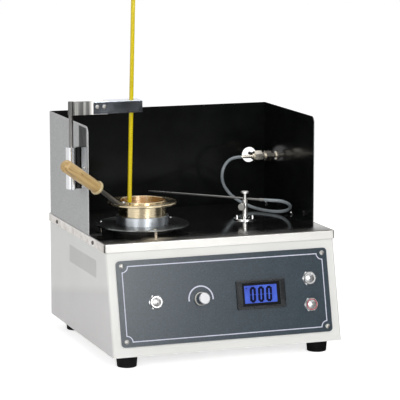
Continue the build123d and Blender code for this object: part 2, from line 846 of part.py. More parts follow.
tilt = math.radians(handle_tilt)
grip_axis = (out[0] * math.cos(tilt), out[1] * math.cos(tilt), math.sin(tilt))
grip_side = (out[1], -out[0], 0)
near = (cup_cx + handle_reach * out[0], cup_cy + handle_reach * out[1], z_rim_cup + handle_up)
radial = Plane((cup_cx, cup_cy, 0), x_dir=(out[0], out[1], 0), z_dir=(out[1], -out[0], 0))
rise = math.atan2(near[2] - z_flange - tang_t / 2, handle_reach - tang_bend)
end_s = handle_reach - 2.5 * math.cos(tilt)
end_z = near[2] - 2.5 * math.sin(tilt)
half_x = tang_t / 2 * math.sin(rise)
half_z = tang_t / 2 * math.cos(rise)
knee = tang_t * math.tan(rise / 2)
bend_top = radial.from_local_coords((tang_bend, z_flange + tang_t, 0))
bend_low = radial.from_local_coords((tang_bend + knee, z_flange, 0))
with BuildPart() as cup_tang:
    with BuildSketch(radial):
        with BuildLine():
            Polyline(
                (tang_from, z_flange),
                (tang_bend + knee, z_flange),
                (end_s + half_x, end_z - half_z),
                (end_s - half_x, end_z + half_z),
                (tang_bend, z_flange + tang_t),
                (tang_from, z_flange + tang_t),
                close=True,
            )
        make_face()
    extrude(amount=tang_w, both=True)
    creases = cup_tang.edges().filter_by(lambda e: abs(e.tangent_at(0.5).Z) < 0.01)
    fillet(creases.sort_by_distance(bend_top)[0], tang_bend_r)
    creases = cup_tang.edges().filter_by(lambda e: abs(e.tangent_at(0.5).Z) < 0.01)
    fillet(creases.sort_by_distance(bend_low)[0], tang_bend_r + tang_t)
    with BuildSketch(Plane((cup_cx, cup_cy, z_deck), x_dir=(out[0], out[1], 0), z_dir=(0, 0, 1))):
        with BuildLine():
            Polyline(
                (tang_from - 1, -tang_w / 2),
                (tang_bend, -tang_w / 2),
                (handle_reach, -tang_end_w / 2),
                (handle_reach, tang_end_w / 2),
                (tang_bend, tang_w / 2),
                (tang_from - 1, tang_w / 2),
                close=True,
            )
        make_face()
    extrude(amount=shield_h, mode=Mode.INTERSECT)
    with BuildSketch(Plane(near, x_dir=grip_side, z_dir=grip_axis).offset(-4.0)):
        Circle(spigot_r)
    extrude(amount=spigot_len + 4.0)
    with BuildSketch(Plane.XY.offset(z_flange)):
        with Locations((cup_cx + rivet_at * out[0], cup_cy + rivet_at * out[1])):
            Circle(1.5 + 0.1)
    extrude(amount=tang_t, mode=Mode.SUBTRACT)
cup_tang.part.label = "cup_tang"
export_step(cup_tang.part, "parts/cup_tang.step")

tang_screw = pan_screw(rivet_r, 1.7, 1.5, tang_t + flange_t)
with BuildPart() as tang_rivet:
    with Locations((cup_cx + rivet_at * out[0], cup_cy + rivet_at * out[1], z_flange + tang_t)):
        add(tang_screw)
tang_rivet.part.label = "tang_rivet"
export_step(tang_rivet.part, "parts/tang_rivet.step")

grip_plane = Plane(near, x_dir=grip_side, z_dir=grip_axis)
turn_plane = Plane(near, x_dir=grip_side, z_dir=-grip_plane.y_dir)
with BuildPart() as handle_collar:
    with BuildSketch(turn_plane):
        with BuildLine():
            Polyline((spigot_r + spigot_gap, 0), (ferrule_r - 1.6, 0))
            ThreePointArc((ferrule_r - 1.6, 0), (ferrule_r, ferrule_len / 2), (ferrule_r - 1.6, ferrule_len))
            Polyline(
                (ferrule_r - 1.6, ferrule_len),
                (spigot_r + spigot_gap, ferrule_len),
                (spigot_r + spigot_gap, 0),
            )
        make_face()
    revolve(axis=Axis(near, grip_axis))
handle_collar.part.label = "handle_collar"
export_step(handle_collar.part, "parts/handle_collar.step")

with BuildPart() as cup_handle:
    with BuildSketch(turn_plane):
        with BuildLine():
            Polyline((0, handle_len), (0, ferrule_len), (handle_neck_r, ferrule_len))
            Spline(
                (handle_neck_r, ferrule_len),
                (handle_r, handle_len * 0.4),
                (handle_tip_r, handle_len - handle_tip_r),
                tangents=((0.1, 1), (0, 1)),
            )
            ThreePointArc(
                (handle_tip_r, handle_len - handle_tip_r),
                (handle_tip_r * 0.7071, handle_len - handle_tip_r * 0.2929),
                (0, handle_len),
            )
        make_face()
    revolve(axis=Axis(near, grip_axis))
    with BuildSketch(grip_plane.offset(ferrule_len)):
        RegularPolygon(handle_flats / 2, 8, major_radius=False)
    extrude(amount=handle_len, mode=Mode.INTERSECT)
    with BuildSketch(grip_plane.offset(ferrule_len)):
        Circle(spigot_r + spigot_gap)
    extrude(amount=spigot_len - ferrule_len + 0.5, mode=Mode.SUBTRACT)
cup_handle.part.label = "cup_handle"
export_step(cup_handle.part, "parts/cup_handle.step")

# ---- wind shield -------------------------------------------------------------------------
y_shield = y_f + shield_front
y_wall = y_f + shield_back
guide_pins = [(y_f + guide_front + guide_depth / 2, z_deck + z) for z in (guide_pin_low, guide_pin_high)]
valve_at = (y_f + valve_y, z_deck + valve_z)
shaft_r = valve_neck_r
with BuildPart() as wind_shield:
    with BuildSketch(Plane.XY.offset(z_deck)):
        with Locations((x_m, (y_shield + y_wall) / 2)):
            Rectangle(case_w, y_wall - y_shield)
    extrude(amount=shield_h)
    far_posts = wind_shield.edges().filter_by(Axis.Z).group_by(Axis.Y)[-1]
    fillet(far_posts, shield_bend_r)
    with BuildSketch(Plane.XY.offset(z_deck + shield_t)):
        with Locations((x_m, (y_shield + y_wall) / 2 - shield_t)):
            Rectangle(case_w - 2 * shield_t, y_wall - y_shield)
    extrude(amount=shield_h, mode=Mode.SUBTRACT)
    with BuildSketch(Plane.XY.offset(z_deck)):
        with Locations((x_m, (y_shield + y_wall) / 2 - shield_flange)):
            Rectangle(case_w - 2 * shield_flange, y_wall - y_shield)
    extrude(amount=shield_t, mode=Mode.SUBTRACT)
    wing_tops = wind_shield.edges().filter_by(Axis.X).group_by(Axis.Z)[-1].group_by(Axis.Y)[0]
    fillet(wing_tops, shield_corner_r)
    soles = wind_shield.edges().group_by(Axis.Z)[0]
    outer_soles = soles.filter_by(lambda e: abs(e.center().X - x_l) < 0.01 or abs(e.center().X - x_r) < 0.01)
    fillet(outer_soles + soles.group_by(Axis.Y)[-1], shield_t - 0.2)
    with BuildSketch(Plane.XY.offset(z_deck)):
        with Locations(*stud_places):
            Circle(stud_r + hole_gap)
    extrude(amount=shield_t, mode=Mode.SUBTRACT)
    with BuildSketch(Plane.XZ.offset(-y_wall)):
        with Locations((x_l + supply_x, z_deck + supply_z)):
            Circle(supply_r)
    extrude(amount=4 * shield_t, mode=Mode.SUBTRACT)
    with BuildSketch(Plane.YZ.offset(x_l)):
        with Locations(*guide_pins):
            Circle(guide_pin_r + hole_gap)
    extrude(amount=2 * shield_t, mode=Mode.SUBTRACT)
    with BuildSketch(Plane.YZ.offset(x_r)):
        with Locations(valve_at):
            Circle(shaft_r + hole_gap)
    extrude(amount=-2 * shield_t, mode=Mode.SUBTRACT)
wind_shield.part.label = "wind_shield"
export_step(wind_shield.part, "parts/wind_shield.step")

with BuildPart() as shield_nuts:
    with BuildSketch(Plane.XY.offset(z_deck + shield_t)):
        with Locations(*stud_places):
            RegularPolygon(nut_r, 6)
    extrude(amount=nut_h / 2)
    with Locations(*[(x, y, z_deck + shield_t + nut_h / 2) for x, y in stud_places]):
        Sphere(nut_r * 0.86, arc_size1=0)
    with BuildSketch(Plane.XY.offset(z_deck + shield_t)):
        with Locations(*stud_places):
            Circle(stud_r)
    extrude(amount=-shield_t - deck_t - 4.0)
shield_nuts.part.label = "shield_nuts"
export_step(shield_nuts.part, "parts/shield_nuts.step")

# ---- thermometer guide, rod and arm ----------------------------------------------------------
rod_at = at_deck(-rod_out, rod_y)
z_guide = z_deck + guide_low
with BuildPart() as thermo_guide:
    with BuildSketch(Plane.XY.offset(z_guide)):
        with Locations(rod_at):
            Circle(guide_boss_r)
        with Locations(((rod_at[0] + x_l - guide_pad) / 2, rod_at[1])):
            Rectangle(rod_out - guide_pad, guide_web_t)
        with Locations((x_l - guide_pad / 2, y_f + guide_front + guide_depth / 2)):
            Rectangle(guide_pad, guide_depth)
        with Locations(rod_at):
            Circle(rod_r + running, mode=Mode.SUBTRACT)
    extrude(amount=guide_high - guide_low)
    pad_edges = thermo_guide.edges().filter_by(Axis.Z).group_by(Axis.X)[-1]
    fillet(pad_edges, guide_edge)
    with BuildSketch(Plane.YZ.offset(x_l)):
        with Locations(*guide_pins):
            Circle(1.5 + 0.1)
    extrude(amount=-guide_pad + 1.5, mode=Mode.SUBTRACT)
    with BuildSketch(Plane.XZ.offset(-y_f - guide_front)):
        with Locations((x_l - guide_pad / 2, z_deck + (guide_low + guide_high) / 2)):
            Circle(screw_r + 0.1)
    extrude(amount=-5.0, mode=Mode.SUBTRACT)
thermo_guide.part.label = "thermo_guide"
export_step(thermo_guide.part, "parts/thermo_guide.step")

guide_screw = pan_screw(2.8, 1.7, 1.5, shield_t + guide_pad - 3.0)
pinch_screw = pan_screw(pin_r, 1.6, screw_r, 4.5)
pinch_at = (x_l - guide_pad / 2, y_f + guide_front, z_deck + (guide_low + guide_high) / 2)
with BuildPart() as guide_screws:
    with Locations(*[Plane((x_l + shield_t, y, z), z_dir=(1, 0, 0)) for y, z in guide_pins]):
        add(guide_screw)
    with Locations(Plane(pinch_at, z_dir=(0, -1, 0))):
        add(pinch_screw)
guide_screws.part.label = "guide_screws"
export_step(guide_screws.part, "parts/guide_screws.step")

z_arm = z_deck + arm_low
spindle_seat = 0.1
with BuildPart() as thermo_rod:
    with BuildSketch(Plane.XY.offset(z_guide + 1.0)):
        with Locations(rod_at):
            Circle(rod_r)
    extrude(amount=z_arm - spindle_seat - z_guide - 1.0)
    with BuildSketch(Plane.XY.offset(z_arm - spindle_seat)):
        with Locations(rod_at):
            Circle(pin_r)
    extrude(amount=arm_h - barrel_roof - 0.2)
    chamfer(thermo_rod.faces().sort_by(Axis.Z)[0].edges(), 0.6)
thermo_rod.part.label = "thermo_rod"
export_step(thermo_rod.part, "parts/thermo_rod.step")

arm_front = rod_at[1] - arm_depth / 2
arm_back = rod_at[1] + arm_depth / 2
arm_right = x_l + arm_end
z_clamp = z_deck + bracket_low + bracket_h / 2 + 1.5
clamp_in_plan = [(arm_right + clamp_first + k * clamp_pitch, z_clamp) for k in range(2)]
with BuildPart() as thermo_arm:
    with BuildSketch(Plane.XY.offset(z_arm)):
        with Locations(((rod_at[0] + barrel_r + arm_right) / 2, rod_at[1])):
            Rectangle(arm_right - rod_at[0] - barrel_r, arm_depth)
        with Locations((rod_at[0] + barrel_r, rod_at[1])):
            Rectangle(2.5, arm_depth - 4.0)
        with BuildLine():
            Polyline(
                (arm_right, arm_front + bracket_t),
                (arm_right + tongue_len, arm_front + bracket_t),
                (arm_right + tongue_len, arm_back),
                (arm_right, arm_back),
                close=True,
            )
        make_face()
    extrude(amount=arm_h - 0.8)
    with BuildSketch(Plane.XY.offset(z_arm)):
        with Locations(rod_at):
            Circle(barrel_r)
    extrude(amount=arm_h)
    crown = thermo_arm.faces().filter_by(Axis.Z).sort_by(Axis.Z)[-1]
    fillet(crown.edges(), 0.6)
    with BuildSketch(Plane.XY.offset(z_arm)):
        with Locations(rod_at):
            Circle(pin_r + running)
    extrude(amount=arm_h - barrel_roof, mode=Mode.SUBTRACT)
    with BuildSketch(Plane.XZ.offset(-arm_front)):
        with Locations(*clamp_in_plan):
            Circle(1.5 + 0.1)
    extrude(amount=-arm_depth, mode=Mode.SUBTRACT)
thermo_arm.part.label = "thermo_arm"
export_step(thermo_arm.part, "parts/thermo_arm.step")

lean_r = math.radians(stem_lean)
bulb_z = z_cup + cup_floor + bulb_above
stem_axis = (math.sin(lean_r), 0, math.cos(lean_r))
stem_plane = Plane((x_l + stem_x, y_f + stem_y, bulb_z), x_dir=(0, 1, 0), z_dir=stem_axis)
bracket_top = z_deck + bracket_low + bracket_h
bush_x = stem_plane.origin.X + math.tan(lean_r) * (bracket_top - bulb_z)
bush_at = (bush_x, stem_plane.origin.Y)
with BuildPart() as thermo_bracket:
    with BuildSketch(Plane.YZ.offset(arm_right + 0.2)):
        with BuildLine():
            Polyline(
                (arm_front, z_deck + bracket_low),
                (arm_front + bracket_t, z_deck + bracket_low),
                (arm_front + bracket_t, bracket_top - bracket_t),
                (arm_front + bracket_deep, bracket_top - bracket_t),
                (arm_front + bracket_deep, bracket_top),
                (arm_front, bracket_top),
                close=True,
            )
        make_face()
    extrude(amount=x_l + bracket_end - arm_right - 0.2)
    with BuildSketch(Plane.XY.offset(bracket_top)):
        with Locations(((arm_right + tongue_len / 2), arm_front + bracket_t + bracket_deep / 2)):
            Rectangle(tongue_len + 1.0, bracket_deep)
    extrude(amount=-2 * bracket_t, mode=Mode.SUBTRACT)
    brink = thermo_bracket.edges().filter_by(Axis.X).group_by(Axis.Z)[-1].group_by(Axis.Y)[0]
    fillet(brink, 1.0)
    with BuildSketch(Plane.XY.offset(bracket_top)):
        with Locations(bush_at):
            Circle(bush_r + 0.1)
    extrude(amount=-2 * bracket_t, mode=Mode.SUBTRACT)
    with BuildSketch(Plane.XZ.offset(-arm_front)):
        with Locations(*clamp_in_plan):
            Circle(1.5 + 0.1)
    extrude(amount=-2 * bracket_t, mode=Mode.SUBTRACT)
thermo_bracket.part.label = "thermo_bracket"
export_step(thermo_bracket.part, "parts/thermo_bracket.step")

clamp_screw = pan_screw(2.7, 1.9, 1.5, 8.0)
clamp_spots = [(x, arm_front, z) for x, z in clamp_in_plan]
with BuildPart() as bracket_screws:
    with Locations(*[Plane(spot, z_dir=(0, -1, 0)) for spot in clamp_spots]):
        add(clamp_screw)
bracket_screws.part.label = "bracket_screws"
export_step(bracket_screws.part, "parts/bracket_screws.step")

with BuildPart() as thermometer_bush:
    with BuildSketch(Plane.XY.offset(bracket_top - bush_h)):
        with Locations(bush_at):
            Circle(bush_r)
    extrude(amount=bush_h)
    with BuildSketch(Plane.XY.offset(bracket_top - bracket_t)):
        with Locations(bush_at):
            Circle(bush_lip_r)
    extrude(amount=-bush_lip)
    with BuildSketch(stem_plane):
        Circle(stem_r + running)
    extrude(amount=shield_h * 2, mode=Mode.SUBTRACT)
thermometer_bush.part.label = "thermometer_bush"
export_step(thermometer_bush.part, "parts/thermometer_bush.step")

stem_side = Plane(stem_plane.origin, x_dir=(0, 1, 0), z_dir=stem_plane.z_dir.cross(Vector(0, 1, 0)) * -1)
with BuildPart() as thermometer_bulb:
    with BuildSketch(stem_side):
        with BuildLine():
            Polyline((bulb_r, bulb_r), (bulb_r, bulb_len), (0, bulb_len), (0, 0))
            ThreePointArc((0, 0), (bulb_r * 0.7071, bulb_r * 0.2929), (bulb_r, bulb_r))
        make_face()
    revolve(axis=Axis(stem_plane.origin, stem_plane.z_dir))
thermometer_bulb.part.label = "thermometer_bulb"
export_step(thermometer_bulb.part, "parts/thermometer_bulb.step")

with BuildPart() as thermometer_stem:
    with BuildSketch(stem_plane.offset(bulb_len)):
        Circle(stem_r)
    extrude(amount=stem_len - bulb_len)
    tops = thermometer_stem.faces().filter_by(GeomType.PLANE).sort_by(Axis.Z)
    fillet(tops[-1].edges(), stem_r * 0.6)
thermometer_stem.part.label = "thermometer_stem"
export_step(thermometer_stem.part, "parts/thermometer_stem.step")

# ---- gas applicator --------------------------------------------------------------------------
with BuildPart() as applicator_base:
    with BuildSketch(Plane.XY.offset(z_deck)):
        with Locations(pivot):
            Circle(foot_disc_r)
        with Locations(*fix_places):
            Circle(screw_r + 0.1, mode=Mode.SUBTRACT)
    extrude(amount=foot_disc_t)
    chamfer(applicator_base.faces().sort_by(Axis.Z)[-1].outer_wire().edges(), 0.4)
    with BuildSketch(Plane.XY.offset(z_deck)):
        with Locations(pivot):
            Circle(hub_r)
    extrude(amount=hub_h)
    with BuildSketch(Plane.XY.offset(z_deck)):
        with Locations(pivot):
            Circle(post_r)
    extrude(amount=post_h)
    with BuildSketch(Plane.XY.offset(z_deck + post_h)):
        with Locations(pivot):
            Circle(post_bore_r)
    extrude(amount=-post_h + spindle_low - 0.6, mode=Mode.SUBTRACT)
applicator_base.part.label = "applicator_base"
export_step(applicator_base.part, "parts/applicator_base.step")

fix_screw = pan_screw(2.0, 3.2, screw_r, foot_disc_t + deck_t + 3.0)
with BuildPart() as applicator_screws:
    with Locations(*[(x, y, z_deck + foot_disc_t) for x, y in fix_places]):
        add(fix_screw)
applicator_screws.part.label = "applicator_screws"
export_step(applicator_screws.part, "parts/applicator_screws.step")

lock_dir = (math.cos(math.radians(lock_angle)), math.sin(math.radians(lock_angle)), 0)
lock_plane = Plane((pivot[0], pivot[1], z_deck + lock_z), x_dir=(lock_dir[1], -lock_dir[0], 0), z_dir=lock_dir)
with BuildPart() as applicator_column:
    with BuildSketch(Plane.XY.offset(z_deck + hub_h + 0.2)):
        with Locations(pivot):
            Circle(column_r)
    extrude(amount=column_top - hub_h - 0.2)
    chamfer(applicator_column.faces().sort_by(Axis.Z)[-1].edges(), 0.5)
    with BuildSketch(Plane.XY.offset(z_deck)):
        with Locations(pivot):
            Circle(post_r + running)
    extrude(amount=post_h + 0.3, mode=Mode.SUBTRACT)
    with BuildSketch(Plane.XY.offset(z_deck)):
        with Locations(pivot):
            Circle(spindle_r + running)
    extrude(amount=column_top, mode=Mode.SUBTRACT)
    with BuildSketch(lock_plane):
        Circle(screw_r + running)
    extrude(amount=column_r + 1.0, mode=Mode.SUBTRACT)
applicator_column.part.label = "applicator_column"
export_step(applicator_column.part, "parts/applicator_column.step")

with BuildPart() as height_lock:
    with BuildSketch(lock_plane.offset(spindle_r + 0.15)):
        Circle(screw_r)
    extrude(amount=lock_from - spindle_r)
    with BuildSketch(lock_plane.offset(lock_from)):
        Circle(lock_r)
        with PolarLocations(lock_r + 0.25, 16):
            Circle(0.55, mode=Mode.SUBTRACT)
    extrude(amount=lock_t)
height_lock.part.label = "height_lock"
export_step(height_lock.part, "parts/height_lock.step")

z_tube = z_deck + arm_z
tube_dir = (math.cos(math.radians(tube_angle)), math.sin(math.radians(tube_angle)), 0)
tube_plane = Plane((pivot[0], pivot[1], z_tube), x_dir=(tube_dir[1], -tube_dir[0], 0), z_dir=tube_dir)
with BuildPart() as applicator_spindle:
    with BuildSketch(Plane.XY.offset(z_deck + spindle_low)):
        with Locations(pivot):
            Circle(spindle_r)
    extrude(amount=spindle_top - spindle_low)
    with BuildSketch(tube_plane):
        Circle(tube_r + running)
    extrude(amount=4 * spindle_r, both=True, mode=Mode.SUBTRACT)
    with BuildSketch(Plane.XY.offset(z_deck + spindle_top)):
        with Locations(pivot):
            Circle(screw_r + running)
    extrude(amount=-spindle_top + arm_z, mode=Mode.SUBTRACT)
applicator_spindle.part.label = "applicator_spindle"
export_step(applicator_spindle.part, "parts/applicator_spindle.step")

tube_side = Plane(tube_plane.origin, x_dir=(0, 0, 1), z_dir=Vector(0, 0, 1).cross(tube_plane.z_dir))
with BuildPart() as applicator_arm:
    with BuildSketch(tube_side):
        with BuildLine():
            Polyline(
                (tube_bore_r, -tube_tail),
                (barb_r - 0.5, -tube_tail),
                (barb_r, -tube_tail + 1.6),
                (barb_r, -tube_tail + barb_len),
                (tube_r, -tube_tail + barb_len + 0.6),
                (tube_r, tube_reach - tip_len),
                (tip_r, tube_reach),
                (tube_bore_r, tube_reach),
                close=True,
            )
        make_face()
    revolve(axis=Axis(tube_plane.origin, tube_plane.z_dir))
applicator_arm.part.label = "applicator_arm"
export_step(applicator_arm.part, "parts/applicator_arm.step")

grip_gap = 0.5
with BuildPart() as reach_lock:
    with BuildSketch(Plane.XY.offset(z_tube + tube_r + 0.15)):
        with Locations(pivot):
            Circle(screw_r)
    extrude(amount=spindle_top + grip_gap - arm_z - tube_r - 0.15)
    with BuildSketch(Plane.XY.offset(z_deck + spindle_top + grip_gap)):
        with Locations(pivot):
            Circle(grip_r)
    extrude(amount=grip_t)
    chamfer(reach_lock.edges().group_by(Axis.Z)[-1], 0.5)
reach_lock.part.label = "reach_lock"
export_step(reach_lock.part, "parts/reach_lock.step")

# ---- gas valve -------------------------------------------------------------------------------
x_valve = x_l + valve_end
x_body = x_valve + valve_barb_len + valve_step
valve_axis = Axis((x_valve, valve_at[0], valve_at[1]), (1, 0, 0))
valve_plane = Plane((x_valve, valve_at[0], valve_at[1]), x_dir=(1, 0, 0), z_dir=(0, -1, 0))
body_at = valve_barb_len + valve_step
shaft_end = valve_in + valve_tail
with BuildPart() as valve_body:
    with BuildSketch(valve_plane):
        with BuildLine():
            Polyline(
                (0, 0),
                (0, valve_barb_r - 0.4),
                (1.5, valve_barb_r),
                (6.0, valve_barb_r),
                (6.0, valve_barb_r + 0.5),
                (valve_barb_len, valve_barb_r + 0.5),
                (valve_barb_len, valve_step_r),
                (body_at, valve_step_r),
                (body_at, shaft_r),
                (shaft_end, shaft_r),
                (shaft_end, 0),
                close=True,
            )
        make_face()
    revolve(axis=valve_axis)
    with BuildSketch(Plane.YZ.offset(x_body)):
        with Locations(valve_at):
            RegularPolygon(valve_body_af / 2, 6, major_radius=False, rotation=30)
    extrude(amount=valve_hex)
    with BuildSketch(Plane.XZ.offset(-valve_at[0])):
        with Locations((x_body + valve_hex / 2, valve_at[1])):
            Circle(inlet_r)
    extrude(amount=-inlet_len + inlet_barb)
    with BuildSketch(Plane.XZ.offset(-valve_at[0])):
        with Locations((x_body + valve_hex / 2, valve_at[1])):
            Circle(valve_barb_r + 0.5)
    extrude(amount=-inlet_len)
    with BuildSketch(Plane.YZ.offset(x_valve + shaft_end)):
        with Locations(valve_at):
            Circle(valve_stem_r + running)
    extrude(amount=-shaft_end + body_at + 6.0, mode=Mode.SUBTRACT)
valve_body.part.label = "valve_body"
export_step(valve_body.part, "parts/valve_body.step")

with BuildPart() as valve_nuts:
    with BuildSketch(Plane.YZ.offset(x_body + valve_hex + valve_neck)):
        with Locations(valve_at):
            RegularPolygon(valve_nut_af / 2, 6, major_radius=False)
            Circle(shaft_r + 0.05, mode=Mode.SUBTRACT)
    extrude(amount=valve_nut)
    with BuildSketch(Plane.YZ.offset(x_r)):
        with Locations(valve_at):
            RegularPolygon(valve_nut_af / 2, 6, major_radius=False)
            Circle(shaft_r + 0.05, mode=Mode.SUBTRACT)
    extrude(amount=3.0)
    with BuildSketch(Plane.YZ.offset(x_r - shield_t)):
        with Locations(valve_at):
            Circle(shaft_r + 2.6)
            Circle(shaft_r + 0.05, mode=Mode.SUBTRACT)
    extrude(amount=-2.5)
valve_nuts.part.label = "valve_nuts"
export_step(valve_nuts.part, "parts/valve_nuts.step")

x_turn = x_r + valve_tail + valve_knob_gap
with BuildPart() as valve_knob:
    with BuildSketch(Plane.YZ.offset(x_turn)):
        with Locations(valve_at):
            Circle(valve_knob_r)
            with PolarLocations(valve_knob_r + 0.9, 12):
                Circle(1.7, mode=Mode.SUBTRACT)
    extrude(amount=valve_knob_h)
    chamfer(valve_knob.faces().sort_by(Axis.X)[-1].edges(), 0.5)
    with BuildSketch(Plane.YZ.offset(x_turn)):
        with Locations(valve_at):
            Circle(valve_stem_r + 0.03)
    extrude(amount=valve_knob_h - 4.0, mode=Mode.SUBTRACT)
valve_knob.part.label = "valve_knob"
export_step(valve_knob.part, "parts/valve_knob.step")

with BuildPart() as valve_stem:
    with BuildSketch(Plane.YZ.offset(x_body + 6.5)):
        with Locations(valve_at):
            Circle(valve_stem_r)
    extrude(amount=x_turn + valve_knob_h - 4.5 - x_body - 6.5)
valve_stem.part.label = "valve_stem"
export_step(valve_stem.part, "parts/valve_stem.step")

# ---- gas hose ----------------------------------------------------------------------------
hose_end = (-tube_tail * tube_dir[0] + pivot_x, -tube_tail * tube_dir[1] + pivot_y, arm_z)
hose_points = [
    (valve_end, valve_y, valve_z),
    (268.8, 217.0, 77.6),
    (257.9, 215.8, 71.7),
    (250.8, 214.6, 61.5),
    (248.8, 214.4, 49.0),
    (252.3, 215.1, 36.8),
    (259.7, 215.8, 26.1),
    (269.0, 214.8, 17.0),
    (279.0, 210.3, 10.1),
    (287.8, 201.6, 5.7),
    (294.2, 190.3, 3.4),
    (299.4, 178.0, 2.7),
    (305.5, 166.0, 2.7),
    (312.9, 154.7, 2.9),
    (319.6, 143.2, 5.1),
    (323.1, 131.1, 9.3),
    (321.4, 119.4, 15.1),
    (315.1, 109.0, 20.7),
    (305.9, 100.5, 25.8),
    (294.4, 95.6, 29.5),
    (282.9, 97.7, 30.2),
    hose_end,
]
hose_spots = [Vector(x_l + p[0], y_f + p[1], z_deck + p[2]) for p in hose_points]
at_column = (hose_spots[-6] + hose_spots[-5]) * 0.5
at_spindle = (hose_spots[-3] + hose_spots[-2]) * 0.5


def bend_radii(spots):
    """One radius for each corner of a hose path, as large as the shorter run beside it allows."""
    radii = []
    for before, here, after in zip(spots, spots[1:], spots[2:]):
        turn = math.radians((here - before).get_angle(after - here))
        shorter = min((here - before).length, (after - here).length)
        radii.append(0.45 * shorter / math.tan(turn / 2))
    return radii


hose_radii = bend_radii(hose_spots)
hose_runs = {
    "gas_hose_1": (hose_spots[:-5] + [at_column], hose_radii[:-4]),
    "gas_hose_2": ([at_column] + hose_spots[-5:-2] + [at_spindle], hose_radii[-4:-1]),
    "gas_hose_3": ([at_spindle, hose_spots[-2], hose_spots[-1]], hose_radii[-1:]),
}


for hose_name, (hose_path, hose_bends) in hose_runs.items():
    with BuildPart() as gas_hose:
        with BuildLine() as hose_line:
            FilletPolyline(*hose_path, radius=hose_bends)
        mouth = Plane(hose_path[0], z_dir=hose_path[1] - hose_path[0])
        with BuildSketch(mouth):
            Circle(hose_r)
        sweep(path=hose_line.wire())
    gas_hose.part.label = hose_name
    export_step(gas_hose.part, "parts/" + hose_name + ".step")
    section = math.pi * hose_r**2
    length = hose_line.wire().length
    print(hose_name, round(length, 1), "mm", round(gas_hose.part.volume / section / length, 4))
    print("radii", [round(r, 1) for r in hose_bends])

# ---- mains inlet ---------------------------------------------------------------------------
z_inlet = z_body + inlet_z
inlet_at = (x_l + inlet_x, z_inlet)
floor_t = 3.0
blade_tail = 8.0
blade_w = 2.0
blade_h = 4.0
blade_stop = 4.8  # blades end this far inside the mouth
blade_spots = [(-7.0, 0.0), (0.0, 4.0), (7.0, 0.0)]
blade_at = [(inlet_at[0] + x, inlet_at[1] + z) for x, z in blade_spots]
y_mouth = y_rear + socket_flange_t
with BuildPart() as mains_inlet:
    with BuildSketch(Plane.XZ.offset(-y_mouth)):
        with Locations(inlet_at):
            RectangleRounded(socket_flange_w, socket_flange_h, 4.0)
            with GridLocations(socket_screws, 1, 2, 1):
                Circle(1.5 + hole_gap, mode=Mode.SUBTRACT)
    extrude(amount=socket_flange_t)
    with BuildSketch(Plane.XZ.offset(-y_mouth)):
        with Locations(inlet_at):
            Rectangle(socket_w + 2 * socket_wall, socket_h + 2 * socket_wall)
    extrude(amount=socket_deep + floor_t)
    with BuildSketch(Plane.XZ.offset(-y_mouth)):
        with Locations(inlet_at):
            Rectangle(socket_w, socket_h)
            with Locations((-socket_w / 2, socket_h / 2), (socket_w / 2, socket_h / 2)):
                Rectangle(8.0, 8.0, rotation=45, mode=Mode.SUBTRACT)
    extrude(amount=socket_deep, mode=Mode.SUBTRACT)
    with BuildSketch(Plane.XZ.offset(-y_mouth)):
        with Locations(*blade_at):
            Rectangle(blade_w + 0.2, blade_h + 0.2)
    extrude(amount=socket_deep + floor_t, mode=Mode.SUBTRACT)
mains_inlet.part.label = "mains_inlet"
export_step(mains_inlet.part, "parts/mains_inlet.step")

with BuildPart() as inlet_pins:
    with BuildSketch(Plane.XZ.offset(-y_mouth + blade_stop)):
        with Locations(*blade_at):
            Rectangle(blade_w, blade_h)
    extrude(amount=socket_deep - blade_stop + floor_t + blade_tail)
inlet_pins.part.label = "inlet_pins"
export_step(inlet_pins.part, "parts/inlet_pins.step")

# ---- heater control board ------------------------------------------------------------------
board_at = at_deck(case_w - board_in, board_back)
z_tray = z_body + case_t
z_board = z_tray + spacer_h
with BuildPart() as board_spacers:
    with BuildSketch(Plane.XY.offset(z_tray)):
        with Locations(board_at):
            with GridLocations(board_w - 2 * board_hole_in, board_d - 2 * board_hole_in, 2, 2):
                Circle(spacer_r)
    extrude(amount=spacer_h)
    with BuildSketch(Plane.XY.offset(z_board)):
        with Locations(board_at):
            with GridLocations(board_w - 2 * board_hole_in, board_d - 2 * board_hole_in, 2, 2):
                Circle(screw_r)
    extrude(amount=board_t + spacer_pin)
board_spacers.part.label = "board_spacers"
export_step(board_spacers.part, "parts/board_spacers.step")

with BuildPart() as control_board:
    with BuildSketch(Plane.XY.offset(z_board)):
        with Locations(board_at):
            Rectangle(board_w, board_d)
            with GridLocations(board_w - 2 * board_hole_in, board_d - 2 * board_hole_in, 2, 2):
                Circle(screw_r + hole_gap, mode=Mode.SUBTRACT)
    extrude(amount=board_t)
    with BuildSketch(Plane.XY.offset(z_board + board_t)):
        with Locations((board_at[0] - fins_left, board_at[1])):
            with GridLocations(fin_pitch, 1, fin_count, 1):
                Rectangle(fin_t, fin_long)
            Rectangle(fin_pitch * (fin_count - 1), fin_web)
    extrude(amount=fin_h)
    with BuildSketch(Plane.XY.offset(z_board + board_t)):
        with Locations((board_at[0] + terminal_right, board_at[1] + terminal_rear)):
            Rectangle(terminal_w, terminal_d)
        with Locations((board_at[0] + relay_right, board_at[1] - relay_front)):
            Rectangle(relay_w, relay_d)
    extrude(amount=block_h)
control_board.part.label = "control_board"
export_step(control_board.part, "parts/control_board.step")
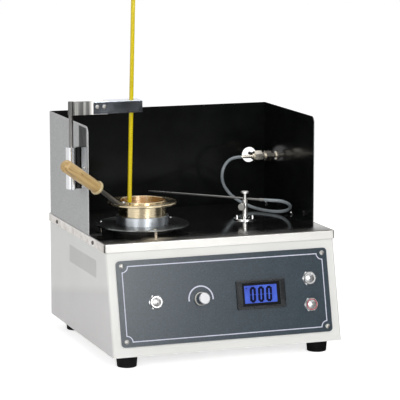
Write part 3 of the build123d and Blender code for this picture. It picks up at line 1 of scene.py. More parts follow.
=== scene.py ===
import bmesh
import bpy
import math
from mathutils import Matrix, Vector


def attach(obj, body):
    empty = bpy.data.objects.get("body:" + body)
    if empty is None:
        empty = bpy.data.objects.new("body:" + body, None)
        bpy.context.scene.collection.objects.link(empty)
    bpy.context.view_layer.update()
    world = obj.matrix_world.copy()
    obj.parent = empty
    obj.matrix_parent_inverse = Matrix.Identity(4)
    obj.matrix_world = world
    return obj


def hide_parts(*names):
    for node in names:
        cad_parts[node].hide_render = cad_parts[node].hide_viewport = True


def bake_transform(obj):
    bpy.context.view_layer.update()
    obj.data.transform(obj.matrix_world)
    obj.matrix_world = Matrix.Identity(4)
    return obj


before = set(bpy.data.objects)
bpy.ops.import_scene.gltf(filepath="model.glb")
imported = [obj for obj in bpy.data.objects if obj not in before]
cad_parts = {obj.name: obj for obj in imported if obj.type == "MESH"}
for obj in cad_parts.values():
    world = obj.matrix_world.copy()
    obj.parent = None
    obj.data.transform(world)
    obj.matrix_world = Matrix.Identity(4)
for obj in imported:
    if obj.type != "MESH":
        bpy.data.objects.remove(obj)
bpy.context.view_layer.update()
MM = 0.001
RIGHT, BACK, UP = Vector((1, 0, 0)), Vector((0, 1, 0)), Vector((0, 0, 1))

# ---- sizes shared with the solids, in millimetres --------------------------------------------
# Places named _x run right from the deck's left edge and _y back from its front edge. Places
# named _down run down the sloped front from its top.
datum_x, datum_y = 150.6, 123.19
case_w, body_h, rim_h, lean = 340.0, 140.0, 12.0, 32.0
foot_h, deck_t, rim_gap = 18.0, 1.2, 0.3
shield_back, shield_t = 271.0, 1.2
panel_t = 2.0
knob_x, knob_down = 133.0, 71.6
mode_x, mode_down, side_x, start_down, power_down = 67.6, 71.5, 295.7, 53.8, 90.8
meter_x, meter_down = 221.4, 70.9
cup_x, cup_y, cup_wall_r = 85.0, 93.5, 32.4
handle_turn, handle_tilt = math.radians(212.2), math.radians(30.5)
stem_lean = math.radians(1.4)
arm_end = 9.5
pivot_x, pivot_y = 253.0, 128.0
x_l, y_f = -datum_x, -datum_y
z_rim = foot_h + body_h
z_deck = z_rim + rim_h
inset = deck_t + rim_gap
slope = math.atan2(lean + inset, body_h)
front_n = Vector((0, -math.cos(slope), math.sin(slope)))
front_up = Vector((0, math.sin(slope), math.cos(slope)))
handle_way = Vector(
    (
        math.cos(handle_tilt) * math.cos(handle_turn),
        math.cos(handle_tilt) * math.sin(handle_turn),
        math.sin(handle_tilt),
    )
)


def at(x, y, z):
    """A place measured from the deck's front-left corner, in the row frame, in metres."""
    return Vector((x_l + x, y_f + y, z_deck + z)) * MM


def on_front(across, down, proud=0.0):
    """A place on the sloped front: across, down the slope, and out from it."""
    base = Vector((x_l + across, y_f + inset, z_rim))
    return (base - front_up * down + front_n * proud) * MM


def link_to_scene(name, data):
    """A new object that shows a mesh, lamp, camera or curve."""
    obj = bpy.data.objects.new(name, data)
    bpy.context.scene.collection.objects.link(obj)
    return obj


# ---- camera ----------------------------------------------------------------------------------
camera_az, camera_el, camera_far = math.radians(-19.6997), math.radians(9.3305), 3.05243
aim = at(173.70, 100.0, 36.54)
away = Vector(
    (
        math.sin(camera_az) * math.cos(camera_el),
        -math.cos(camera_az) * math.cos(camera_el),
        math.sin(camera_el),
    )
)
camera = link_to_scene("camera", bpy.data.cameras.new("camera"))
camera.location = aim + away * camera_far
camera.rotation_euler = (-away).to_track_quat("-Z", "Y").to_euler()
camera.data.sensor_width = 36.0
camera.data.lens = 192.56
camera.data.clip_end = 20
bpy.context.scene.camera = camera
bpy.context.scene.view_settings.view_transform = "Standard"


# ---- node tools ------------------------------------------------------------------------------
class Nodes:
    """A node tree, with short ways to add its nodes and feed them."""

    def __init__(self, tree):
        self.tree = tree

    def node(self, kind, **props):
        made = self.tree.nodes.new(kind)
        for key, value in props.items():
            setattr(made, key, value)
        return made

    def feed(self, socket, value):
        """Links another node's output, or sets a plain number, colour or vector."""
        if isinstance(value, bpy.types.NodeSocket):
            self.tree.links.new(value, socket)
        elif socket.type == "RGBA":
            socket.default_value = (*value, 1)
        else:
            socket.default_value = value

    def math(self, operation, *values):
        made = self.node("ShaderNodeMath", operation=operation)
        for socket, value in zip(made.inputs, values):
            self.feed(socket, value)
        return made.outputs[0]

    def fold(self, operation, first, *others):
        """Runs one operation on from value to value."""
        for other in others:
            first = self.math(operation, first, other)
        return first

    def product(self, *values):
        return self.fold("MULTIPLY", *values)

    def length(self, a, b):
        """The length of a vector whose two parts, square to each other, are a and b."""
        return self.math("SQRT", self.math("ADD", self.product(a, a), self.product(b, b)))

    def dot(self, vector, direction):
        """How far a vector reaches along a direction."""
        made = self.node("ShaderNodeVectorMath", operation="DOT_PRODUCT")
        made.inputs[1].default_value = direction
        self.feed(made.inputs[0], vector)
        return made.outputs["Value"]

    def span(self, value, low, high, from_low=0.3, from_high=0.7, curve="LINEAR"):
        """Maps from_low..from_high, where most noise lies, to low..high."""
        made = self.node("ShaderNodeMapRange", interpolation_type=curve)
        made.inputs["From Min"].default_value = from_low
        made.inputs["From Max"].default_value = from_high
        made.inputs["To Min"].default_value = low
        made.inputs["To Max"].default_value = high
        self.feed(made.inputs["Value"], value)
        return made.outputs["Result"]

    def ramp(self, value, stops, mode="LINEAR"):
        made = self.node("ShaderNodeValToRGB")
        made.color_ramp.interpolation = mode
        elements = made.color_ramp.elements
        while len(elements) < len(stops):
            elements.new(0.5)
        for element, (place, color) in zip(elements, stops):
            element.position = place
            element.color = (*color, 1)
        self.feed(made.inputs["Fac"], value)
        return made.outputs["Color"]

    def either(self, share, first, second):
        """Mixes two shaders."""
        made = self.node("ShaderNodeMixShader")
        for socket, value in zip(made.inputs, (share, first, second)):
            self.feed(socket, value)
        return made.outputs[0]

    def by_ray(self, lit, glossy, seen):
        """One look for diffuse rays, one in metal, and one for the camera and through glass."""
        path = self.node("ShaderNodeLightPath")
        shine = self.either(path.outputs["Is Glossy Ray"], lit, glossy)
        clear = self.math("MAXIMUM", path.outputs["Is Camera Ray"], path.outputs["Is Transmission Ray"])
        return self.either(clear, shine, seen)


# ---- light, floor and backdrop ---------------------------------------------------------------
world = bpy.data.worlds.new("studio")
bpy.context.scene.world = world
world.use_nodes = True
world.node_tree.nodes.clear()
sky = Nodes(world.node_tree)


def backdrop(level):
    """White light from all round, at one level."""
    made = sky.node("ShaderNodeBackground")
    made.inputs["Color"].default_value = (1, 1, 1, 1)
    sky.feed(made.inputs["Strength"], level)
    return made.outputs[0]


# The room behind the lamps, to the front and right, is unlit and shows dark in metal.
fill_level, white_level, dark_level = 0.42, 1.0, 0.05
dark_way, dark_from, dark_full = (0.766, -0.643, 0.0), 0.70, 0.90
bearing = sky.dot(sky.node("ShaderNodeTexCoord").outputs["Generated"], dark_way)
room_level = sky.span(bearing, white_level, dark_level, dark_from, dark_full, "SMOOTHSTEP")
sky_look = sky.by_ray(backdrop(fill_level), backdrop(room_level), backdrop(white_level))
sky.feed(sky.node("ShaderNodeOutputWorld").inputs["Surface"], sky_look)


def softbox(name, place, target, size, watts):
    """A rectangular lamp that faces its target."""
    lamp = bpy.data.lights.new(name, "AREA")
    lamp.shape = "RECTANGLE"
    lamp.size, lamp.size_y = size
    lamp.energy = watts
    holder = link_to_scene(name, lamp)
    holder.location = place
    holder.rotation_euler = (Vector(target) - Vector(place)).to_track_quat("-Z", "Y").to_euler()


softbox("key", (1.0, -1.30, 1.45), (0.0, 0.0, 0.12), (0.8, 0.7), 6)
softbox("front", (0.08, -1.60, 0.62), (0.0, -0.1, 0.1), (0.5, 0.46), 8)
softbox("left", (-1.3, -1.2, 0.85), (0.0, 0.0, 0.12), (0.5, 0.7), 5)
softbox("top", (0.0, 0.2, 1.9), (0.0, 0.0, 0.1), (1.2, 1.0), 6)

floor_reach = 6.0
corners = [(floor_reach * x, floor_reach * y, 0) for x, y in ((-1, -1), (1, -1), (1, 1), (-1, 1))]
floor_mesh = bpy.data.meshes.new("floor")
floor_mesh.from_pydata(corners, [], [(0, 1, 2, 3)])
floor = link_to_scene("floor", floor_mesh)
floor_mat = bpy.data.materials.new("floor_pale")
floor_mat.use_nodes = True
floor_mat.node_tree.nodes.clear()
ground = Nodes(floor_mat.node_tree)


def floor_look(tone, glow):
    """The pale matte floor with some light of its own, as one kind of ray sees it."""
    matte = ground.node("ShaderNodeBsdfDiffuse")
    light = ground.node("ShaderNodeEmission")
    both = ground.node("ShaderNodeAddShader")
    ground.feed(matte.inputs["Color"], tone)
    ground.feed(light.inputs["Strength"], glow)
    ground.feed(both.inputs[0], matte.outputs[0])
    ground.feed(both.inputs[1], light.outputs[0])
    return both.outputs[0]


def toward(direction):
    """The cosine between a floor point's bearing and a direction."""
    unit = ground.node("ShaderNodeVectorMath", operation="NORMALIZE")
    ground.feed(unit.inputs[0], floor_place)
    return ground.dot(unit.outputs[0], direction)


# In metal the floor is brightest just before the object and ends in the dark room. It also
# darkens to the right, and in a narrow wedge to the front and left.
floor_place = ground.node("ShaderNodeTexCoord").outputs["Object"]
ahead_way, right_way, wedge_way = (0.36, -0.93, 0.0), (0.966, -0.259, 0.0), (-0.342, -0.94, 0.0)
ahead_reach = 2.0
ahead_stops = [(0.0, (0.62,) * 3), (0.45, (1.0,) * 3), (0.62, (1.0,) * 3), (0.80, (0.03,) * 3)]
lit_tone, lit_glow = (0.78, 0.78, 0.78), 0.0
seen_tone, seen_glow = (0.82, 0.82, 0.82), 0.68
glow_in_metal = 0.85
ahead = ground.math("DIVIDE", ground.dot(floor_place, ahead_way), ahead_reach)
ahead_level = ground.ramp(ahead, ahead_stops)
right_level = ground.span(toward(right_way), 1.0, 0.05, 0.76, 0.90, "SMOOTHSTEP")
wedge_level = ground.span(toward(wedge_way), 1.0, 0.3, 0.955, 0.99, "SMOOTHSTEP")
floor_level = ground.product(ahead_level, right_level, wedge_level)
floor_mix = ground.by_ray(
    floor_look(lit_tone, lit_glow),
    floor_look(floor_level, ground.product(floor_level, glow_in_metal)),
    floor_look(seen_tone, seen_glow),
)
ground.feed(ground.node("ShaderNodeOutputMaterial").inputs["Surface"], floor_mix)
floor_mesh.materials.append(floor_mat)


# ---- material tools --------------------------------------------------------------------------
class Finish(Nodes):
    """A Principled material with object-space noise for its colour, roughness and bump."""

    def __init__(self, name, color, rough, metal=0.0, **sockets):
        self.mat = bpy.data.materials.new(name)
        self.mat.use_nodes = True
        super().__init__(self.mat.node_tree)
        self.shader = self.tree.nodes["Principled BSDF"]
        self.feed(self.shader.inputs["Base Color"], color)
        self.feed(self.shader.inputs["Roughness"], rough)
        self.feed(self.shader.inputs["Metallic"], metal)
        for key, value in sockets.items():
            self.feed(self.shader.inputs[key.replace("_", " ")], value)
        self.place = self.node("ShaderNodeTexCoord").outputs["Object"]
        self.last_bump = None

    def mapped(self, scale=(1, 1, 1), turn=(0, 0, 0)):
        """Object coordinates, scaled and turned."""
        made = self.node("ShaderNodeMapping")
        made.inputs["Scale"].default_value = scale
        made.inputs["Rotation"].default_value = turn
        self.feed(made.inputs["Vector"], self.place)
        return made.outputs["Vector"]

    def stretched(self, axis, along, across):
        """Object coordinates scaled by along on the axis and by across square to it."""
        pull = self.node("ShaderNodeVectorMath", operation="SCALE")
        pull.inputs[0].default_value = axis
        self.feed(pull.inputs["Scale"], self.product(self.dot(self.place, axis), along - across))
        wide = self.node("ShaderNodeVectorMath", operation="SCALE")
        self.feed(wide.inputs[0], self.place)
        self.feed(wide.inputs["Scale"], across)
        both = self.node("ShaderNodeVectorMath", operation="ADD")
        self.feed(both.inputs[0], pull.outputs[0])
        self.feed(both.inputs[1], wide.outputs[0])
        return both.outputs[0]

    def measured(self, origin, direction):
        """How far a point lies from the origin along a direction, in metres."""
        offset = self.node("ShaderNodeVectorMath", operation="SUBTRACT")
        offset.inputs[1].default_value = origin
        self.feed(offset.inputs[0], self.place)
        return self.dot(offset.outputs[0], direction)

    def along(self, direction):
        """How far a point lies from the deck's front-left corner along a direction."""
        return self.measured(at(0, 0, 0), direction)

    def off_middle(self):
        """How far a point lies to either side of the case's middle."""
        return self.math("ABSOLUTE", self.measured(at(case_w / 2, 0, 0), RIGHT))

    def noise(self, scale, detail=3.0, rough=0.55, vector=None, distortion=0.0):
        made = self.node("ShaderNodeTexNoise")
        made.inputs["Scale"].default_value = scale
        made.inputs["Detail"].default_value = detail
        made.inputs["Roughness"].default_value = rough
        made.inputs["Distortion"].default_value = distortion
        self.feed(made.inputs["Vector"], vector or self.place)
        return made.outputs["Fac"]

    def mix(self, share, first, second):
        made = self.node("ShaderNodeMix", data_type="RGBA")
        live = [socket for socket in made.inputs if socket.enabled]
        for socket, value in zip(live, (share, first, second)):
            self.feed(socket, value)
        return next(socket for socket in made.outputs if socket.enabled)

    def color(self, value):
        self.feed(self.shader.inputs["Base Color"], value)

    def rough(self, value):
        self.feed(self.shader.inputs["Roughness"], value)

    def bump(self, height, strength, distance):
        """Adds a layer of bump over the ones already there."""
        made = self.node("ShaderNodeBump")
        made.inputs["Strength"].default_value = strength
        made.inputs["Distance"].default_value = distance
        self.feed(made.inputs["Height"], height)
        if self.last_bump:
            self.feed(made.inputs["Normal"], self.last_bump)
        self.last_bump = made.outputs["Normal"]
        self.feed(self.shader.inputs["Normal"], self.last_bump)

    def turned_grooves(self, amount):
        """Fine rings about the part's own upright axis, which draw the shine out across them."""
        ring = self.node("ShaderNodeTangent", direction_type="RADIAL", axis="Z")
        self.feed(self.shader.inputs["Tangent"], ring.outputs["Tangent"])
        self.feed(self.shader.inputs["Anisotropic"], amount)
        self.feed(self.shader.inputs["Anisotropic Rotation"], 0.25)


def lin(*levels):
    """An sRGB colour, 0 to 255, as linear light."""
    shares = [level / 255 for level in levels]
    return tuple(((s + 0.055) / 1.055) ** 2.4 if s > 0.04045 else s / 12.92 for s in shares)


def scaled(tone, by):
    """A colour made darker or lighter."""
    return tuple(min(part * by, 1.0) for part in tone)


# ---- finishes --------------------------------------------------------------------------------
def steel(name, tone, rough, grain=90.0, stretch=(1, 1, 1), bump=0.05, spread=0.06, turned=0.0):
    """Metal with a grain, which may be stretched, in patches of more and less polish."""
    f = Finish(name, tone, rough, 1.0)
    if turned:
        f.turned_grooves(turned)
    grains = f.noise(grain, 4.0, 0.6, f.mapped(stretch))
    f.color(f.ramp(grains, [(0.25, scaled(tone, 0.9)), (0.75, scaled(tone, 1.06))]))
    f.rough(f.span(f.noise(25.0, 3.0), rough - spread, rough + spread))
    f.bump(grains, bump, 0.0001)
    return f.mat


def plain(name, tone, rough, grain=300.0, bump=0.08, **sockets):
    """Paint, plastic or rubber of one tone with a faint grain."""
    f = Finish(name, tone, rough, **sockets)
    grains = f.noise(grain, 2.0)
    f.color(f.ramp(grains, [(0.3, scaled(tone, 0.9)), (0.7, scaled(tone, 1.1))]))
    f.rough(f.span(grains, rough - 0.05, rough + 0.06))
    f.bump(grains, bump, 0.00012)
    return f.mat


def case_paint():
    """Pale enamel with painted light: the sides are painted lighter than the front, and their upper part
    lighter still as a painted reflection.
    """
    painted_sheen_down, painted_sheen_edge, painted_sheen_way, side_margin = 62.0, 7 * MM, (0, 0.185, 0.983), 0.8
    f = Finish("case_enamel", lin(226, 226, 222), 0.42, Coat_Weight=0.12, Coat_Roughness=0.25)
    patch = f.noise(9.0, 2.0)
    # The sides' tones are painted light: lighter than the front, and lightest above as a painted reflection.
    side_upper_painted_sheen = f.ramp(patch, [(0.3, lin(243, 244, 241)), (0.7, lin(249, 250, 247))])
    side_lower_painted_light = f.ramp(patch, [(0.3, lin(229, 227, 227)), (0.7, lin(235, 233, 233))])
    front = f.ramp(patch, [(0.3, lin(222, 222, 218)), (0.7, lin(229, 229, 226))])
    height = f.span(f.measured(at(0, 0, -painted_sheen_down), painted_sheen_way), 0.0, 1.0, -painted_sheen_edge, painted_sheen_edge)
    on_side = f.math("GREATER_THAN", f.off_middle(), (case_w / 2 - inset - side_margin) * MM)
    f.color(f.mix(on_side, front, f.mix(height, side_lower_painted_light, side_upper_painted_sheen)))
    f.rough(f.span(f.noise(40.0, 3.0), 0.36, 0.5))
    f.bump(f.noise(900.0, 2.0), 0.12, 0.0002)
    return f.mat


def panel_paint():
    """Slate enamel with a fine pale speck."""
    f = Finish("panel_slate", lin(32, 49, 60), 0.33, Coat_Weight=0.4, Coat_Roughness=0.3)
    speck = f.noise(560.0, 3.0, 0.7)
    f.color(f.ramp(speck, [(0.34, lin(22, 37, 47)), (0.5, lin(30, 47, 58)), (0.68, lin(46, 65, 77))]))
    f.rough(f.span(f.noise(60.0, 3.0), 0.30, 0.36))
    f.bump(speck, 0.14, 0.0001)
    return f.mat


def shield_paint():
    """Light grey outside and gloss black inside, told apart by where the sheet's middle lies."""
    dark_patch_middle, dark_patch_half, dark_patch_low, dark_patch_high, dark_patch_edge = 100.0, 18.0, 110.0, 149.5, 2 * MM
    f = Finish("shield_two_sided", (0.02, 0.02, 0.02), 0.2, Specular_IOR_Level=0.1)
    back, up = f.along(BACK), f.along(UP)
    inside = f.product(
        f.math("LESS_THAN", f.off_middle(), (case_w / 2 - shield_t) * MM),
        f.math("LESS_THAN", back, (shield_back - shield_t) * MM),
    )
    # A soft-edged black patch is painted on the left wing's outer face above the rod's guide.
    from_dark_patch = f.math("ABSOLUTE", f.measured(at(0, dark_patch_middle, 0), BACK))
    dark_patch = f.product(
        f.span(from_dark_patch, 1.0, 0.0, dark_patch_half * MM - dark_patch_edge, dark_patch_half * MM + dark_patch_edge),
        f.math("GREATER_THAN", up, dark_patch_low * MM),
        f.math("LESS_THAN", up, dark_patch_high * MM),
        f.math("LESS_THAN", f.along(RIGHT), 0.2 * MM),
        f.span(f.noise(55.0, 3.0), 0.9, 1.0),
    )
    grey = f.ramp(f.noise(420.0, 2.0, 0.6), [(0.3, lin(190, 191, 192)), (0.7, lin(212, 213, 213))])
    black = f.ramp(f.noise(30.0, 3.0), [(0.3, lin(12, 13, 13)), (0.7, lin(19, 20, 20))])
    f.color(f.mix(f.math("MAXIMUM", inside, dark_patch), grey, black))
    f.rough(f.span(inside, 0.46, 0.16, 0.0, 1.0))
    f.bump(f.noise(330.0, 2.0, 0.5), 0.10, 0.0003)
    return f.mat


def deck_steel():
    """Mirror steel, hazed to the front, with a painted warm reflection before the hot plate, a bright front
    lip and stained sides.
    """
    skin, front_end, tone_end, haze_end = 0.3 * MM, 4 * MM, 60 * MM, 42 * MM
    f = Finish("deck_mirror_steel", (0.62, 0.61, 0.59), 0.10, 0.985)
    smear = f.noise(14.0, 4.0, 0.6, f.mapped((1.0, 2.2, 1.0)), 0.6)
    back = f.along(BACK)
    far = f.ramp(smear, [(0.3, (0.29, 0.29, 0.28)), (0.7, (0.37, 0.37, 0.36))])
    near = f.ramp(smear, [(0.3, (0.15, 0.145, 0.135)), (0.7, (0.20, 0.195, 0.185))])
    top = f.mix(f.span(back, 0.0, 1.0, front_end, tone_end), near, far)
    # A warm patch before the hot plate is a painted reflection of the brass cup, and the steel there is made
    # rougher too.
    warm_reflection_at, warm_reflection_wide, warm_reflection_deep = at(cup_x - 4.0, 22.0, 0), 30 * MM, 24 * MM
    from_warm_reflection = f.length(
        f.math("DIVIDE", f.measured(warm_reflection_at, RIGHT), warm_reflection_wide),
        f.math("DIVIDE", f.measured(warm_reflection_at, BACK), warm_reflection_deep),
    )
    ragged = f.math("ADD", from_warm_reflection, f.span(f.noise(40.0, 3.0), -0.15, 0.15))
    painted_warm_reflection = f.span(ragged, 1.0, 0.0, 0.2, 1.0)
    top = f.mix(painted_warm_reflection, top, (0.86, 0.76, 0.60))
    lip = f.ramp(smear, [(0.3, (0.74, 0.73, 0.70)), (0.7, (0.82, 0.81, 0.78))])
    stain = f.noise(70.0, 4.0, 0.6)
    flank = f.ramp(stain, [(0.3, (0.50, 0.45, 0.41)), (0.5, (0.66, 0.62, 0.58)), (0.7, (0.76, 0.74, 0.72))])
    on_flank = f.math("GREATER_THAN", f.off_middle(), case_w / 2 * MM - skin)
    tone = f.mix(f.math("LESS_THAN", back, skin), top, lip)
    tone = f.mix(on_flank, tone, flank)
    # The side lips end short of the front one and leave a dark seam at the corner.
    seam_w, seam_top = 4.0 * MM, -1.5 * MM
    seam = f.product(
        on_flank, f.math("LESS_THAN", back, seam_w), f.math("LESS_THAN", f.along(UP), seam_top)
    )
    f.color(f.mix(seam, tone, (0.03, 0.03, 0.03)))
    dulled = f.math("ADD", f.span(back, 0.26, 0.0, front_end, haze_end), f.product(painted_warm_reflection, 0.2))
    f.rough(f.math("ADD", f.span(smear, 0.06, 0.15), dulled))
    f.bump(f.noise(7.0, 1.0), 0.10, 0.0006)
    f.bump(f.noise(240.0, 2.0, 0.5, f.mapped((0.2, 6.0, 1.0))), 0.03, 0.0001)
    return f.mat


def knob_metal():
    """Turned aluminium: a pale skirt, a groove painted near black as painted shade, a body painted dark
    blue-grey as a painted reflection of the panel, and a bright faced cap.
    """
    skirt_top, body_foot, cap_edge, knob_span = 0.212, 0.26, 0.82, 20 * MM
    f = Finish("knob_aluminium", (0.84, 0.84, 0.85), 0.24, 1.0)
    depth = f.measured(on_front(knob_x, knob_down, panel_t), front_n)
    zone = f.span(depth, 0.0, 1.0, 0.0, knob_span)

    def by_zone(skirt, groove, body, cap):
        stops = [(0.0, skirt), (skirt_top, groove), (body_foot, body), (cap_edge, cap)]
        return f.ramp(zone, stops, "CONSTANT")

    # The groove's near black is painted shade, and the body's dark blue-grey is a painted reflection of the
    # panel.
    f.color(by_zone((0.80, 0.78, 0.71), (0.04, 0.05, 0.08), (0.36, 0.39, 0.44), (0.49, 0.49, 0.50)))
    f.rough(by_zone((0.42,) * 3, (0.5,) * 3, (0.3,) * 3, (0.34,) * 3))
    f.feed(f.shader.inputs["Metallic"], by_zone((0.0,) * 3, (1.0,) * 3, (1.0,) * 3, (1.0,) * 3))
    f.bump(f.noise(200.0, 3.0), 0.04, 0.0001)
    return f.mat


def button_metal(name, across, down):
    """A turned push-button face whose two opposite fans of shine are painted into its colour: bright to the
    sides, dark above and below.
    """
    ring_gap = 0.5 * MM
    f = Finish(name, (0.74, 0.74, 0.74), 0.26, 1.0)
    centre = on_front(across, down, panel_t)
    side, up = f.measured(centre, RIGHT), f.measured(centre, front_up)
    turn = f.math("ARCTAN2", up, side)
    painted_fans = f.span(f.math("COSINE", f.product(turn, 2.0)), 0.0, 1.0, -1.0, 1.0)
    # The fans are painted highlights and painted shade, set by the angle round the button.
    f.color(f.ramp(painted_fans, [(0.0, (0.22, 0.22, 0.23)), (0.55, (0.48, 0.48, 0.48)), (1.0, (0.74, 0.74, 0.73))]))
    f.rough(f.span(f.noise(80.0, 3.0), 0.30, 0.38))
    f.bump(f.math("SINE", f.product(f.length(side, up), 2 * math.pi / ring_gap)), 0.1, 0.00003)
    return f.mat


def housing_steel():
    """Bright turned rings on hexagonal flanges painted dark as painted shade, whose left shoulders are
    painted bright as a painted highlight.
    """
    ring_r, highlight_from, flange_r = 9.2 * MM, -4.0 * MM, 15 * MM
    f = Finish("button_housing_steel", (0.74, 0.74, 0.74), 0.36, 1.0)
    off_axes, shoulder_highlights = [], []
    for across, down in ((mode_x, mode_down), (side_x, start_down), (side_x, power_down)):
        centre = on_front(across, down, panel_t)
        side = f.measured(centre, RIGHT)
        off_axis = f.length(side, f.measured(centre, front_up))
        on_left = f.math("LESS_THAN", side, highlight_from)
        off_axes.append(off_axis)
        shoulder_highlights.append(f.product(on_left, f.math("LESS_THAN", off_axis, flange_r)))
    nearest, shoulder_highlight = f.fold("MINIMUM", *off_axes), f.fold("MAXIMUM", *shoulder_highlights)
    grains = f.noise(90.0, 4.0)
    ring = f.ramp(grains, [(0.25, (0.54, 0.54, 0.54)), (0.75, (0.66, 0.66, 0.66))])
    # The flanges' dark is painted shade, and their bright left shoulders are a painted highlight.
    flange = f.ramp(grains, [(0.25, (0.10, 0.11, 0.12)), (0.75, (0.20, 0.21, 0.22))])
    flange = f.mix(shoulder_highlight, flange, (0.84, 0.84, 0.84))
    f.color(f.mix(f.math("GREATER_THAN", nearest, ring_r), ring, flange))
    f.rough(f.span(grains, 0.32, 0.42))
    f.bump(grains, 0.04, 0.0001)
    return f.mat


def guide_steel():
    """Polished block painted in bands: the rod's boss bright as a painted highlight, the recess between boss
    and pad black as a painted dark reflection, and the pad grey.
    """
    boss_end, recess_end, guide_w = 0.22, 0.555, 20 * MM
    f = Finish("guide_polished", (0.62, 0.63, 0.65), 0.14, 1.0)
    zone = f.span(f.along(RIGHT), 0.0, 1.0, -guide_w, 0.0)
    # These stops are painted light: a painted highlight on the boss and a painted dark reflection in the
    # recess.
    stops = [(0.0, (0.84, 0.85, 0.87)), (boss_end, (0.03, 0.03, 0.03)), (recess_end, (0.36, 0.37, 0.38))]
    f.color(f.ramp(zone, stops, "CONSTANT"))
    grains = f.noise(60.0, 4.0, 0.6, f.mapped((1.0, 1.0, 0.1)))
    f.rough(f.span(grains, 0.14, 0.24))
    f.bump(grains, 0.04, 0.0001)
    return f.mat


def arm_steel():
    """Milled flat bar with broad cross-wise bands of painted sheen and a painted highlight on its end."""
    end_length = 7.0
    f = Finish("arm_milled_steel", (0.6, 0.6, 0.59), 0.3, 1.0)
    upright = f.stretched(UP, 0.05, 1.0)
    painted_sheen_bands = f.noise(120.0, 2.0, 0.5, upright)
    # The bands are painted sheen, from dark to bright.
    stops = [(0.36, (0.08, 0.08, 0.078)), (0.5, (0.15, 0.15, 0.145)), (0.66, (0.36, 0.355, 0.34))]
    tone = f.ramp(painted_sheen_bands, stops)
    # The end's brightness is a painted highlight.
    painted_end_highlight = f.span(f.along(RIGHT), 0.0, 1.0, (arm_end - end_length) * MM, arm_end * MM)
    f.color(f.mix(painted_end_highlight, tone, (0.86, 0.84, 0.80)))
    f.rough(f.span(painted_sheen_bands, 0.3, 0.42))
    f.bump(f.noise(600.0, 2.0, 0.5, upright), 0.1, 0.0001)
    return f.mat


def brass():
    """Turned brass; the cup's inner wall is redder and painted lighter, as painted light."""
    f = Finish("cup_brass", (0.55, 0.44, 0.26), 0.2, 1.0)
    turned = f.noise(220.0, 3.0, 0.6, f.mapped((0.12, 0.12, 9.0)))
    middle = at(cup_x, cup_y, 0)
    off_axis = f.length(f.measured(middle, RIGHT), f.measured(middle, BACK))
    tint = f.noise(30.0, 3.0)
    outer = f.ramp(tint, [(0.3, (0.66, 0.55, 0.36)), (0.7, (0.80, 0.68, 0.47))])
    # The inner wall is painted lighter than the outer one, as painted light.
    inner = f.ramp(tint, [(0.3, (0.78, 0.60, 0.38)), (0.7, (0.88, 0.72, 0.50))])
    f.color(f.mix(f.math("LESS_THAN", off_axis, cup_wall_r * MM), outer, inner))
    f.rough(f.span(turned, 0.20, 0.30))
    f.turned_grooves(0.8)
    f.bump(turned, 0.012, 0.00006)
    return f.mat


def wood():
    """Pale turned wood with its grain along the handle."""
    f = Finish("handle_wood", lin(190, 158, 104), 0.38, Coat_Weight=0.2, Coat_Roughness=0.18)
    grain = f.noise(14.0, 4.0, 0.6, f.stretched(handle_way, 2.0, 22.0), 0.8)
    stops = [(0.3, lin(150, 116, 66)), (0.45, lin(186, 154, 98)), (0.75, lin(206, 178, 122))]
    f.color(f.ramp(grain, stops))
    f.rough(f.span(grain, 0.28, 0.42))
    f.bump(grain, 0.12, 0.0002)
    return f.mat


def hose_rubber():
    """Grey silicone that lets a little light through."""
    f = Finish("hose_silicone", lin(150, 154, 157), 0.22, Transmission_Weight=0.2, IOR=1.41)
    f.color(f.ramp(f.noise(70.0, 2.0), [(0.3, lin(138, 147, 152)), (0.7, lin(156, 163, 168))]))
    f.bump(f.noise(500.0, 2.0), 0.05, 0.0001)
    return f.mat


def display_blue():
    """A backlit pane inside a black mask, both told by where they lie on the sloped front."""
    lit_w, lit_h, lit_left, lit_up = 48.2, 24.6, 1.0, 0.1
    f = Finish("display_backlight", lin(62, 84, 190), 0.14, Coat_Weight=0.4, Coat_Roughness=0.05)
    middle = on_front(meter_x - lit_left, meter_down - lit_up)
    across = f.math("ABSOLUTE", f.measured(middle, RIGHT))
    upward = f.math("ABSOLUTE", f.measured(middle, front_up))
    lit = f.product(
        f.math("LESS_THAN", across, lit_w / 2 * MM), f.math("LESS_THAN", upward, lit_h / 2 * MM)
    )
    blue = f.ramp(f.noise(55.0, 2.0), [(0.3, lin(52, 70, 158)), (0.7, lin(64, 90, 182))])
    f.color(f.mix(lit, lin(12, 13, 16), blue))
    f.feed(f.shader.inputs["Emission Color"], f.mix(lit, (0, 0, 0), blue))
    f.feed(f.shader.inputs["Emission Strength"], 0.55)
    f.bump(f.noise(800.0, 1.0), 0.02, 0.00005)
    return f.mat


